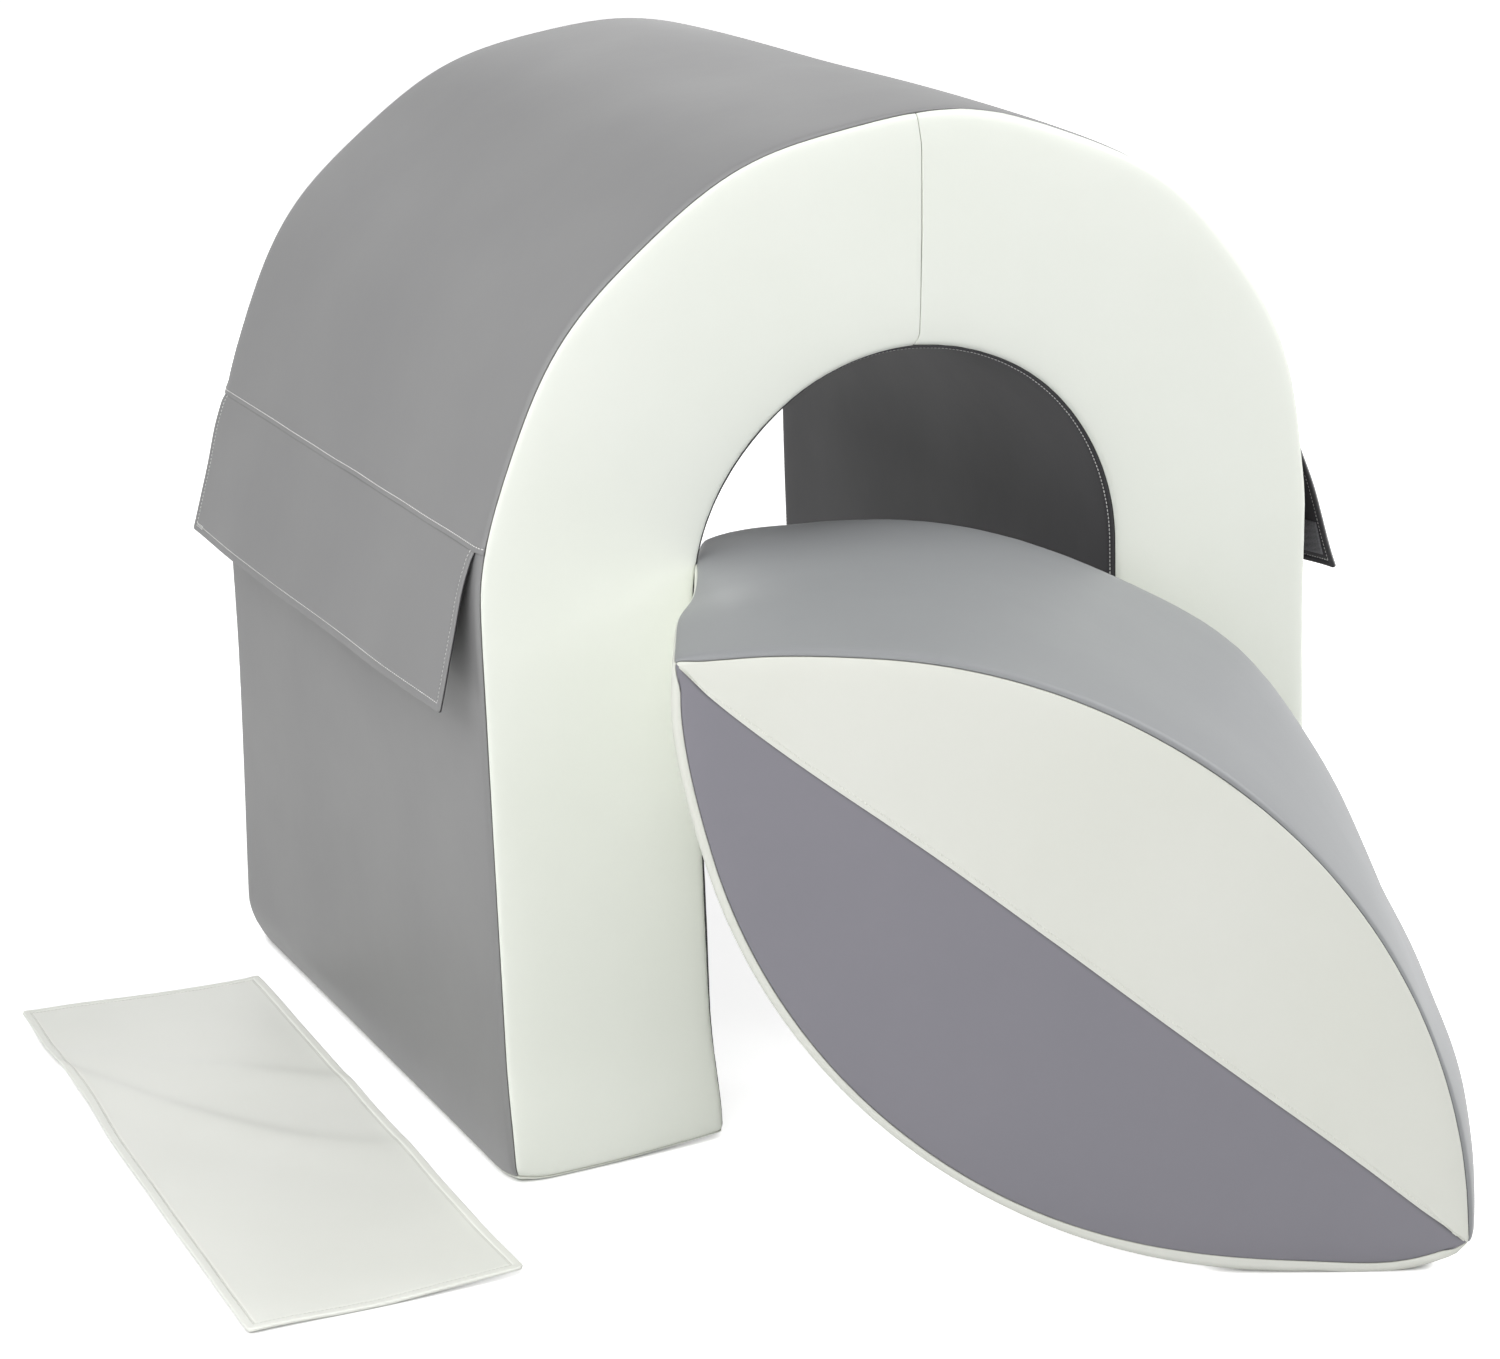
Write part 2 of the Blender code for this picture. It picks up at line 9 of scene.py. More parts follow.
import bpy
import numpy as np
from mathutils import Euler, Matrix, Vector


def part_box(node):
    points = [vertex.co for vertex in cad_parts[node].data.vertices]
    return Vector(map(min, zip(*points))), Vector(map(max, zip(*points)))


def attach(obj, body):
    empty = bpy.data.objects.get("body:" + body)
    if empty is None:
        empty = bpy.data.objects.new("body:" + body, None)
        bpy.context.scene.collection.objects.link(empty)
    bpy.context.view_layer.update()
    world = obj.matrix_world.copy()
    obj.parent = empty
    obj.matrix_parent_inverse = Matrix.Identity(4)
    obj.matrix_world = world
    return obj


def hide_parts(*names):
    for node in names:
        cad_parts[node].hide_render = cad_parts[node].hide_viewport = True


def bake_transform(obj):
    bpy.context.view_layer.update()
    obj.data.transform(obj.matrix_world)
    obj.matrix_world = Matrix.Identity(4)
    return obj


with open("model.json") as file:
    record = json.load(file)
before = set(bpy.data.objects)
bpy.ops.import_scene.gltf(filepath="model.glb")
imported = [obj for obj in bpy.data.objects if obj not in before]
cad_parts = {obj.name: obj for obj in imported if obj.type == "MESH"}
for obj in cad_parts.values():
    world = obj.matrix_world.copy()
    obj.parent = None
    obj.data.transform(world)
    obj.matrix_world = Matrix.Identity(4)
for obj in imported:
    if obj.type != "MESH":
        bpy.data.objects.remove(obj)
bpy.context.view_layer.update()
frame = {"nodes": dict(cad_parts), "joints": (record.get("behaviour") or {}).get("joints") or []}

MM = 0.001
TINY = 1e-12
LEFT, RIGHT = -1, 1
WORDS = {LEFT: "left", RIGHT: "right"}
JOINTS = {joint["name"]: joint for joint in frame["joints"]}

# The tunnel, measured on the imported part.
LINING_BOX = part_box("inner_lining")
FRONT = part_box("front_panel_left")[0].y
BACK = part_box("back_panel_left")[1].y
TUNNEL = np.array([(LINING_BOX[0].x + LINING_BOX[1].x) / 2, (FRONT + BACK) / 2, 0.0])
CAD_SET_IN = 1.5 * MM
INNER_RADIUS = TUNNEL[0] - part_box("foam_leg_left")[1].x - CAD_SET_IN
SPRING_HEIGHT = LINING_BOX[1].z - (LINING_BOX[1].x - LINING_BOX[0].x) / 2
OUTER_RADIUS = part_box("top_panel")[1].z - SPRING_HEIGHT
WALL = OUTER_RADIUS - INNER_RADIUS
MIDDLE_RADIUS = INNER_RADIUS + WALL / 2
HALF_DEPTH = (BACK - FRONT) / 2
TUNNEL_EDGE = 8 * MM
FLAP_SEAM = math.asin(0.082 / OUTER_RADIUS)

# The cover's cloth, and how it turns into a seam.
SKIN = 0.8 * MM
GAP = 0.3 * MM
ROLL = 1.0 * MM
TUCKS = np.array([4.0, 2.0]) * MM
BY_SEAM = np.array([0, 0.2, 0.45, 0.7, 0.9, 1.0, 1.3, 1.8, 2.6, 3.8, 5.5, 8.0, 12.0]) * MM
BY_HEM = np.array([0, 0.1, 0.3, 0.6, 0.9, 1.3, 1.8, 2.5, 3.2, 3.8, 4.2, 4.6, 5.0, 5.4, 6.0,
                   7.0, 8.5, 10.5, 13.0]) * MM
HEM_STITCH = 4.6 * MM
EDGE_SLACK = 1.1 * MM
EDGE_SLACK_REACH = 6 * MM
PUCKER = 0.16 * MM
PUCKER_LENGTH = 13 * MM
STEP = 8 * MM
END_STEP = 7 * MM

# How far each cover stands out between its seams and the waves in it, and the foam inside.
END_PUFF = 2.2 * MM
TOP_PUFF = 2.0 * MM
SIDE_PUFF = 2.4 * MM
LINING_PUFF = 1.0 * MM
BAND_PUFF = 3.0 * MM
FACE_PUFF = 3.2 * MM
END_WAVE = 0.7 * MM
COVER_WAVE = 0.8 * MM
FACE_WAVE = 0.5 * MM
LINING_STITCH = 5.5 * MM
LINING_GROOVE = 0.3 * MM
FOAM_INSET = 6 * MM
FOAM_JOINT = 0.1 * MM
FOAM_FOOT = 16 * MM

# The tunnel's feet: rounded under the wall, and more at the corners, mostly the outer ones.
FOOT_ROUND = 6 * MM
CORNER_ROUND = 14 * MM
INNER_CORNER_ROUND = 2 * MM
CORNER_REACH = 18 * MM
FOOT_SEAM = 1 - math.sqrt(0.5)
FOOT_FADE = 30 * MM
FOOT_FLAT_BULGE = 0.5 * MM
BY_FOOT_SEAM = np.array([0, 0.2, 0.45, 0.7, 1.0, 1.4, 2.0]) * MM
ZIP_SLOT = 10 * MM
FOOT_ZIP_HALF = HALF_DEPTH - 70 * MM

# The top panel's hem, which laps over the flap.
LIP_PAST = 1.5 * MM
LIP_RISE = 2.4 * MM
BARE_LIP_RISE = 1.5 * MM
LIP_THICKNESS = 1.1 * MM
HEM_ROLL = 0.8 * MM
HEM_WAVER = 0.5 * MM
HEM_GROOVE = 0.45 * MM
GROOVE_WIDTH = 0.8 * MM
HEM_PULL = 0.12 * MM
UNDER_LIP = 3.0 * MM

# Where the real foam and cover leave the plain shape of the tunnel. Places on the arch are in
# degrees over it from the left.
FULLNESS = 2.5 * MM
FACET = 1.8 * MM
FACET_FIRST, FACET_EVERY = 8, 30
SHOULDER = 7.5 * MM
SHOULDER_AT, SHOULDER_WIDTH = 142, 27
RIM_IN = 3.0 * MM
RIM_FROM, RIM_OVER = 15, 40
RIM_IN_RIGHT = 2.5 * MM
RIM_RIGHT_FROM, RIM_RIGHT_OVER = 60, 50
HEEL_OUT = 10.5 * MM
HEEL_HEIGHT = 0.33
TOE_IN = 5.0 * MM
TOE_HEIGHT = 0.17
TOE_FORWARD = 9.0 * MM
FORWARD_HEIGHT = 0.12
TOE_LIFT = 4.5 * MM
LIFT_HEIGHT = 0.10
LIFT_WIDTH = 0.12
TOE_DEPTH = 80 * MM
RIGHT_LEG_SHARE = 0.4
CROWN_SHIFT = 11.8 * MM
CROWN_SHARES = np.array([0, 0.06, 0.5, 0.85, 1.0])
CROWN_WANDER = np.array([-5.0, 2.0, 2.4, 1.0, -3.5]) * MM
CROWN_BELL = 30 * MM
SEAM_ON_FACE = 1.0 * MM
SEAM_PAST_EDGE = 6.0 * MM
SEAM_TURNS_AT, SEAM_TURNS_OVER = 75, 40
SEAM_FADES_AT, SEAM_FADES_OVER = 60 * MM, 45 * MM

# Flaps. How much longer and nearer to the wall the front end hangs than the rest, and how much
# nearer and lower the whole flap hangs than its cut: below 0, it is the other way.
FLAP_DROP = 0.139
FLAP_END_REACH = {LEFT: 0.15, RIGHT: 0.08}
FLAP_END_LONGER = {LEFT: 1 * MM, RIGHT: -2 * MM}
FLAP_END_NEARER = {LEFT: 9 * MM, RIGHT: -6 * MM}
FLAP_NEARER = {LEFT: 0.0, RIGHT: 14 * MM}
FLAP_LOWER = {LEFT: -2 * MM, RIGHT: 14 * MM}
FLAP_BOW = 0.5 * MM
FLAP_TOP_SHORTER = {LEFT: 2 * MM, RIGHT: 12 * MM}
FLAP_HALF_LENGTH = HALF_DEPTH - 11 * MM
FLAP_STANDOFF = math.radians(8.8)
FLAP_CORNER = 4 * MM
FLAP_CLOSE_ROWS = 14 * MM
FLAP_STEP = 6 * MM
FLAP_WAVE = 1.3 * MM
HEM_WAVE = 0.8 * MM
END_EDGE_WAVE = 0.6 * MM
PLY_SWELLING = 0.45 * MM
PLY_DIP = 0.55 * MM
PLY_PULL = 0.10 * MM
PLY_LEAST = 0.12 * MM
PLY = 1.15 * MM
PLY_GAP = 0.06 * MM
HOOK_WIDTH = 30 * MM
HOOK_MARGIN = 12 * MM
HOOK_THICKNESS = 1.4 * MM
HOOK_ROLL = 0.5 * MM
HOOK_CLEAR = 0.35 * MM
FLAP_STITCH = 7.0 * MM
BY_FREE_EDGE = np.array([0, 0.08, 0.25, 0.5, 0.8, 1.2, 1.8, 2.6, 3.6, 4.8, 5.8, 6.5, 7.0, 7.5,
                         8.2, 9.2, 11.0, 14.0]) * MM

# The rocker: a lens of foam between an upper arc and a belly arc.
ROCKER_LENGTH = 0.792
ROCKER_RISE = 0.188
ROCKER_BELLY = 0.2125
ROCKER_HALF_DEPTH = 0.204
ROCKER_EDGE = 6 * MM
ROCKER_TIP = 8 * MM
ROCKER_ZIP_HALF = 0.280
ROCKER_ZIP_SLOT = 5 * MM
ROCKER_STEP = 6 * MM
BAND_LAP = 2.5 * MM
BAND_LAP_LOW = 3.5 * MM
UPPER_LAP = 3.2 * MM
LAP_FADE = 25 * MM
BELLY_OUT = 9 * MM
BELLY_OUT_AT, BELLY_OUT_WIDTH = 40, 7
TIP_OUT = 9 * MM
TIP_REACH = 110 * MM
SEAM_SAG = 6 * MM
SAG_AT, SAG_WIDTH = 90 * MM, 120 * MM
SAG_GROWS_OVER = 35 * MM
SEAM_RISE = 2 * MM
RISE_AT, RISE_WIDTH = 0.66, 0.1
SAG_FADE = 50 * MM
CORNER_FORWARD = 50 * MM
CORNER_REACH_IN = 75 * MM
LOW_END_PUFF = 12.0 * MM
SEAM_LIP = 1.0 * MM
SEAM_LIP_RISE = 0.5 * MM
ZIP_LIP_RISE = 0.4 * MM
SEAM_STITCH = 4.6 * MM
SEAM_ROLL = 0.7 * MM
SEAM_GROOVE = 0.2 * MM
SEAM_DIP = 0.6 * MM
SEAM_HEM_THICKER = 0.2 * MM

# Bells that move the rocker's cover: height in mm, place and width. Those on the back edge are
# placed by the share of the upper arc, and those on the left end by the depth.
BACK_BELLS = ((12, 0.54, 0.10), (-10.5, 0.06, 0.15), (-5, 0.80, 0.07))
LEFT_BELLS = ((7.0, -94 * MM, 62 * MM), (4.0, 130 * MM, 55 * MM))
LEFT_BELLS_REACH = 90 * MM

# The connecting panel.
PANEL_WIDTH = 0.228
PANEL_LENGTH = 0.722
PANEL_CORNER = 6 * MM
PANEL_STITCH = 8 * MM
PANEL_STEP = 6 * MM
PANEL_PLY = 1.1 * MM
PANEL_MIDDLE = 1.35 * MM
PANEL_YAW = -1.0
RIDGE = 4.2 * MM
RIDGE_LOWER = 2.6 * MM
SECOND_RIDGE = 2.2 * MM
BACK_CORNER_LIFT = 5.0 * MM
END_FROM, END_OVER = 0.36, 0.14
EDGE_LIFT = 0.8 * MM
UNEVEN = 0.4 * MM
PANEL_WIDER = 4.5 * MM
PANEL_SHORTER = 13 * MM
PANEL_LONGER = 9 * MM
SIDE_WAVE = 1.2 * MM
END_WAVE_PANEL = 1.0 * MM
FRONT_SHARES = np.linspace(-0.5, 0.5, 11)
FRONT_LIFTS = np.array([1.2, 1.8, 1.4, 0.7, 0.3, 0.4, 1.2, 2.3, 3.3, 4.3, 5.2]) * MM

# Stitches, drawn a little thicker than sewing thread so that they show.
STITCH_PITCH = 3.6 * MM
STITCH_LENGTH = 2.8 * MM
STITCH_WIDTH = 1.05 * MM
STITCH_HEIGHT = 0.45 * MM

# Sizes of the patterns in the finishes, and the painted shade deep in a seam: how strong it is and
# its tones.
GRAIN = 1.5 * MM
HOOK_PITCH = 1.6 * MM
TAPE_THREAD = 0.7 * MM
FOAM_CELL = 1.0 * MM
SEAM_SHADE_SHARE = 0.55
SEAM_SHADE_GREY = "#1E1D1C"
SEAM_SHADE_CREAM = "#8E8D80"


# Numbers and lines

def smooth(x):
    """0 below 0, 1 above 1, and 3x^2 - 2x^3 between."""
    x = np.clip(x, 0.0, 1.0)
    return x * x * (3 - 2 * x)


def unit(vectors):
    """Each vector over its own length."""
    return vectors / np.maximum(np.linalg.norm(vectors, axis=-1, keepdims=True), TINY)


def roll(distance, radius=ROLL):
    """How far a sheet has dipped at a distance from its seam: a quarter circle, a whole radius
    deep at the seam and nothing at one radius from it."""
    left = np.clip(radius - distance, 0.0, radius)
    return radius - np.sqrt(radius * radius - left * left)


def bump(x, width):
    """A bell of height 1 at 0: e to the power of minus (x over width) squared."""
    return np.exp(-(x / width) ** 2)


def ripple(a, b, seed, shortest, longest, waves=5):
    """Between about -1 and 1: the mean of a few sine waves over (a, b), each with its own
    direction, and a wave length from shortest to longest."""
    picks = np.random.default_rng(seed)
    total = 0.0
    for _ in range(waves):
        way = picks.uniform(0, math.pi)
        length = picks.uniform(shortest, longest)
        phase = picks.uniform(0, 2 * math.pi)
        along = a * math.cos(way) + b * math.sin(way)
        total = total + np.sin(2 * math.pi * along / length + phase)
    return total / waves * 1.4


def puckers(along, distance, seed):
    """Small pulls beside a seam: waves along it that fade out away from it."""
    wave = ripple(along, 0.0 * along, seed, 0.7 * PUCKER_LENGTH, 1.6 * PUCKER_LENGTH)
    return PUCKER * wave * np.exp(-distance / (9 * MM))


def spaced(length, step, low=BY_SEAM, high=BY_SEAM):
    """Positions from 0 to length: the close ones that low and high give from each end, and even
    steps between."""
    start, end = low[-1], length - high[-1]
    even = np.linspace(start, end, max(2, round((end - start) / step) + 1))
    return np.concatenate([low[:-1], even, (length - high[::-1])[1:]])


def tucked(positions, low=True, high=True):
    """The positions with the last one at each sewn end repeated, and how far inwards each one
    is tucked: 2 and 4 mm for those, nothing for the rest."""
    tuck = np.zeros(len(positions))
    if low:
        positions = np.concatenate([positions[[0, 0]], positions])
        tuck = np.concatenate([TUCKS, tuck])
    if high:
        positions = np.concatenate([positions, positions[[-1, -1]]])
        tuck = np.concatenate([tuck, TUCKS[::-1]])
    return positions, tuck


def nearest(positions, value):
    """Index of the position nearest to a value."""
    return int(np.argmin(np.abs(positions - value)))


def nearest_pair(positions, distance):
    """Indices of the positions nearest to a distance before 0 and to the same one after it."""
    return nearest(positions, -distance), nearest(positions, distance)


# Meshes

def grid_normals(points, outward):
    """Unit normals of a grid: rows direction crossed with columns direction, turned to the side
    that the vectors outward look to, which are taken where the grid has no area."""
    normals = np.cross(np.gradient(points, axis=0), np.gradient(points, axis=1))
    size = np.linalg.norm(normals, axis=-1, keepdims=True)
    side = np.sign(np.sum(normals * outward, axis=-1, keepdims=True))
    side = np.where(side == 0, 1.0, side)
    flat = size < 1e-9
    return np.where(flat, unit(outward), normals * side / np.maximum(size, TINY))


def sheet_faces(rows, columns):
    """Quads of a closed sheet whose outer grid is followed by its inner one: the outer faces,
    the inner ones turned round, and a strip round the four edges."""
    count = rows * columns
    grid = np.arange(count).reshape(rows, columns)
    outer = np.stack([grid[:-1, :-1], grid[1:, :-1], grid[1:, 1:], grid[:-1, 1:]], -1)
    outer = outer.reshape(-1, 4)
    border = np.concatenate([grid[0, :-1], grid[:-1, -1], grid[-1, :0:-1], grid[:0:-1, 0]])
    ahead = np.roll(border, -1)
    strip = np.stack([border, ahead, ahead + count, border + count], -1)
    return np.concatenate([outer, outer[:, ::-1] + count, strip])


def volume(points, faces):
    """Signed volume inside quads, from the tetrahedra between their halves and the origin."""
    a, b, c, d = (points[faces[:, i]] for i in range(4))
    first = np.sum(a * np.cross(b, c), axis=-1)
    second = np.sum(a * np.cross(c, d), axis=-1)
    return float(np.sum(first + second)) / 6


def add_object(name, data):
    """Puts a mesh, a lamp or a camera into the scene."""
    obj = bpy.data.objects.new(name, data)
    bpy.context.scene.collection.objects.link(obj)
    return obj


def new_mesh(name, points, faces, finish, smooth_below=None):
    """A mesh of one finish, shaded smooth across edges of less than an angle in degrees, or
    across all edges where none is given."""
    mesh = bpy.data.meshes.new(name)
    mesh.from_pydata(points, [], faces)
    mesh.materials.append(finish)
    mesh.shade_smooth()
    if smooth_below:
        mesh.set_sharp_from_angle(angle=math.radians(smooth_below))
    return mesh


def stand_in(piece, node):
    """Hides the node of the part that a piece stands in for.
    The piece is not used."""
    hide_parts(node)


def add_sheet(name, outer, inner, finish, body, fold=None):
    """A closed sheet between an outer and an inner grid of points, and the body that it rides
    on. fold is 0 where the cloth lies open and 1 deep in a seam: how much shade is painted
    there."""
    points = np.concatenate([outer.reshape(-1, 3), inner.reshape(-1, 3)])
    faces = sheet_faces(*outer.shape[:2])
    if volume(points - points.mean(axis=0), faces) < 0:
        faces = faces[:, ::-1]
    mesh = new_mesh(name, points.tolist(), faces.tolist(), finish, 50)
    if fold is not None:
        fold = np.concatenate([fold.ravel(), fold.ravel()])
        attribute = mesh.attributes.new("fold", "FLOAT", "POINT")
        attribute.data.foreach_set("value", fold.astype(np.float32))
    sheet = add_object(name, mesh)
    if body:
        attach(sheet, body)
    return sheet


def add_cover(name, node, finish, body, points, outward, deep, thickness=SKIN):
    """A sewn piece of cover: its outer side is the grid of points, and its inner side lies a
    thickness below that. deep is 1 or more in a seam, where the finish paints shade by it.
    Returns the grid's normals."""
    normals = grid_normals(points, outward)
    shape = points.shape[:2]
    inner = points - normals * np.broadcast_to(thickness, shape)[..., None]
    fold = np.clip(np.broadcast_to(deep, shape), 0, 1)
    stand_in(add_sheet(name, points, inner, finish, body, fold), node)
    return normals


def sewn_across(edge, step=STEP):
    """Distances across a face from its middle, from seam to seam, and how far each is tucked
    in, both as one row."""
    across, tuck = tucked(spaced(2 * edge - GAP, step))
    return (across - across[-1] / 2)[None, :], tuck[None, :]


def puffed(height, share, power, distance, fade):
    """How far a cover stands out: a height in its middle and nothing at the seams, where share
    is -1 and 1, times 1 minus e to the power of minus the distance from its end over fade."""
    return height * (1 - np.abs(share) ** power) * (1 - np.exp(-distance / fade))


def turn_to(side, *grids):
    """Mirrors grids that are worked out for the left side of the tunnel where the given side is
    the right one."""
    for grid in grids:
        grid[..., 0] *= -side


# The tunnel's covers

def face_edge(middle):
    """Distance from the middle of a face to the seam in its rounded corner."""
    half = HALF_DEPTH if middle in (0, 180) else WALL / 2
    return half - TUNNEL_EDGE + TUNNEL_EDGE * math.pi / 4


def face_section(middle, across):
    """Radius and y of the wall's rounded section at distances across one face from its middle,
    and the same two parts of the outward direction there. middle is the way that the face
    looks, in degrees: 0 outwards, 90 to the front, 180 into the opening, 270 to the back."""
    turn = math.radians(middle)
    out_radius, out_y = math.cos(turn), -math.sin(turn)
    half, reach = (HALF_DEPTH, WALL / 2) if middle in (0, 180) else (WALL / 2, HALF_DEPTH)
    flat = half - TUNNEL_EDGE
    bend = np.sign(across) * np.maximum(np.abs(across) - flat, 0) / TUNNEL_EDGE
    along = np.clip(across, -flat, flat) + TUNNEL_EDGE * np.sin(bend)
    outward = reach - TUNNEL_EDGE * (1 - np.cos(bend))
    radius = MIDDLE_RADIUS + out_radius * outward + out_y * along
    y = out_y * outward - out_radius * along
    normal_radius = out_radius * np.cos(bend) + out_y * np.sin(bend)
    normal_y = out_y * np.cos(bend) - out_radius * np.sin(bend)
    return radius, y, normal_radius, normal_y


def foot_round(middle, across):
    """Radius of the rounding under the foot, which grows towards the wall's corners."""
    outer = {0: True, 90: across < 0, 180: False, 270: across > 0}[middle]
    corner = np.where(outer, CORNER_ROUND, INNER_CORNER_ROUND)
    return FOOT_ROUND + corner * bump(face_edge(middle) - np.abs(across), CORNER_REACH)


def wall_surface(middle, across, t):
    """Points on one face of the wall and their outward directions. t below 0 is metres down the
    left leg, 0 to pi the angle over the arch from left to right, and t beyond pi metres down
    the right leg. Near the floor the surface rolls inwards round the foot's rounding."""
    across, t = np.broadcast_arrays(across, t)
    radius, y, normal_radius, normal_y = face_section(middle, across)
    angle = np.clip(t, 0, math.pi)
    drop = np.abs(t - angle)
    height = SPRING_HEIGHT - drop
    rounding = foot_round(middle, across)
    under = np.where(drop > 0, np.clip((rounding - height) / rounding, 0, 1), 0.0)
    level = np.sqrt(1 - under * under)
    inset = rounding * (1 - level)
    radius = radius - normal_radius * inset
    y = y - normal_y * inset
    points = np.stack([-radius * np.cos(angle), y, radius * np.sin(angle) + height], -1)
    outward = np.stack([
        -normal_radius * level * np.cos(angle),
        normal_y * level,
        normal_radius * level * np.sin(angle) - under,
    ], -1)
    return points, outward


def foot_t(middle, across, rise, side):
    """t of the points that are rise up the leg from the seam round the foot, which climbs by
    the corners of the wall."""
    seam = FOOT_SEAM * foot_round(middle, across)
    height = rise + seam * np.exp(-rise / FOOT_FADE)
    down = SPRING_HEIGHT - height
    return -down if side == LEFT else math.pi + down


def settle(points):
    """Moves points of the tunnel by the millimetres that real foam and its cover differ from the
    plain shape. The outside is fuller by a constant, by a cosine of the angle over the arch,
    which makes it slightly polygonal, and by a bell over the right shoulder. The inside stands
    into the opening, more so from the crown to the right. Near the floor the left leg splays,
    and the right one by a share of that: the back outwards, and the front inwards and forwards,
    with the inner corner a little off the floor. The seam at the front's crown wanders sideways
    by a few millimetres on its way in."""
    x, y, z = points[..., 0], points[..., 1], points[..., 2]
    over = np.maximum(z - SPRING_HEIGHT, 0)
    radius = np.maximum(np.hypot(x, over), TINY)
    angle = np.degrees(np.arctan2(over, -x))
    outside = smooth(2 * (radius - MIDDLE_RADIUS) / WALL)
    inside = smooth(2 * (MIDDLE_RADIUS - radius) / WALL)
    on_arch = smooth(angle / FACET_FIRST) * smooth((180 - angle) / FACET_FIRST)
    facets = FACET * np.cos(2 * math.pi * (angle - FACET_FIRST) / FACET_EVERY) * on_arch
    outwards = FULLNESS + facets + SHOULDER * bump(angle - SHOULDER_AT, SHOULDER_WIDTH)
    inwards = RIM_IN * smooth((angle - RIM_FROM) / RIM_OVER)
    inwards = inwards + RIM_IN_RIGHT * smooth((angle - RIM_RIGHT_FROM) / RIM_RIGHT_OVER)
    push = outwards * outside - inwards * inside

    front = smooth(0.5 - y / HALF_DEPTH)
    toe_depth = smooth(1 - (y + HALF_DEPTH) / TOE_DEPTH)
    leg = np.where(x < 0, 1.0, RIGHT_LEG_SHARE)
    heel = HEEL_OUT * smooth(1 - z / HEEL_HEIGHT) * smooth(0.15 + z / 0.05)
    heel = heel * outside * (1 - front) * leg
    toe = TOE_IN * smooth(1 - z / TOE_HEIGHT) ** 1.5 * inside * front * leg
    forward = TOE_FORWARD * smooth(1 - z / FORWARD_HEIGHT) * toe_depth * leg
    toe_edge = smooth(1 - z / LIFT_HEIGHT) * toe_depth
    lift = TOE_LIFT * toe_edge * smooth(1 - (np.abs(x) - INNER_RADIUS) / LIFT_WIDTH) * leg

    beside = x - radius * CROWN_SHIFT / MIDDLE_RADIUS
    wander = np.interp((radius - INNER_RADIUS) / WALL, CROWN_SHARES, CROWN_WANDER)
    wander = wander * bump(beside, CROWN_BELL) * smooth((12 * MM - y - HALF_DEPTH) / (10 * MM))
    wander = wander * smooth(over / (100 * MM))
    return points + np.stack([
        push * x / radius + np.sign(x) * (heel - toe) + wander,
        -forward,
        push * over / radius + lift,
    ], -1)


def slack(distance):
    """How far a tight cover has sunk beside a seam."""
    return EDGE_SLACK * np.exp(-distance / EDGE_SLACK_REACH)


def by_outer_seam(distance, angle):
    """How far the seam round the outside of the wall has moved onto the front or back face, at a
    distance from it and an angle over the arch from the left: a little at the left, and past the
    rounded edge the other way from the crown to the right. It fades out away from the seam."""
    past = smooth((np.degrees(angle) - SEAM_TURNS_AT) / SEAM_TURNS_OVER)
    moved = SEAM_ON_FACE - (SEAM_ON_FACE + SEAM_PAST_EDGE) * past
    return moved * smooth((SEAM_FADES_AT - distance) / SEAM_FADES_OVER)


def build_end_panel(side, front, finish):
    """Half of the front or the back: rows from the seam round the foot to the seam at the
    crown, columns from seam to seam across the wall."""
    middle, outer, word, seed = (90, -1, "front", 10) if front else (270, 1, "back", 20)
    seed = seed + side
    edge = face_edge(middle)
    across, tuck_across = sewn_across(edge, END_STEP)
    arch = math.pi / 2 * MIDDLE_RADIUS - side * CROWN_SHIFT
    crown = arch / MIDDLE_RADIUS
    length = SPRING_HEIGHT + arch
    rows, tuck_rows = tucked(spaced(length - GAP / 2, STEP))
    rows = rows[:, None]
    to_crown = length - rows
    by_side = edge - GAP / 2 - np.abs(across)
    over = np.maximum(crown - to_crown / MIDDLE_RADIUS, 0)
    angle = over if side == LEFT else math.pi - over
    across = across - outer * by_outer_seam(edge - outer * across, angle)
    radius = face_section(middle, across)[0]
    reach = MIDDLE_RADIUS + (radius - MIDDLE_RADIUS) * np.exp(-to_crown / (60 * MM))
    over = crown - to_crown / reach
    t = np.where(rows < SPRING_HEIGHT, foot_t(middle, across, rows, LEFT), np.maximum(over, 0))
    points, outward = wall_surface(middle, across, t)

    by_crown = to_crown - GAP / 2
    swell = puffed(END_PUFF, across / edge, 5, rows, 25 * MM)
    swell = swell + END_WAVE * ripple(rows, across, seed, 0.16, 0.42)
    swell = swell - slack(by_side) - slack(rows) - 0.5 * slack(by_crown)
    swell = swell + puckers(rows, by_side, seed) + puckers(across, by_crown, seed + 5)
    seams = roll(by_side) + roll(by_crown) + roll(rows)
    sunk = seams + tuck_across + tuck_rows[:, None]
    points = points + outward * (swell - sunk)[..., None]
    turn_to(side, points, outward)
    name = "{}_cover_{}".format(word, WORDS[side])
    node = "{}_panel_{}".format(word, WORDS[side])
    add_cover(name, node, finish, "tunnel", settle(points) + TUNNEL, outward,
              sunk / ROLL)


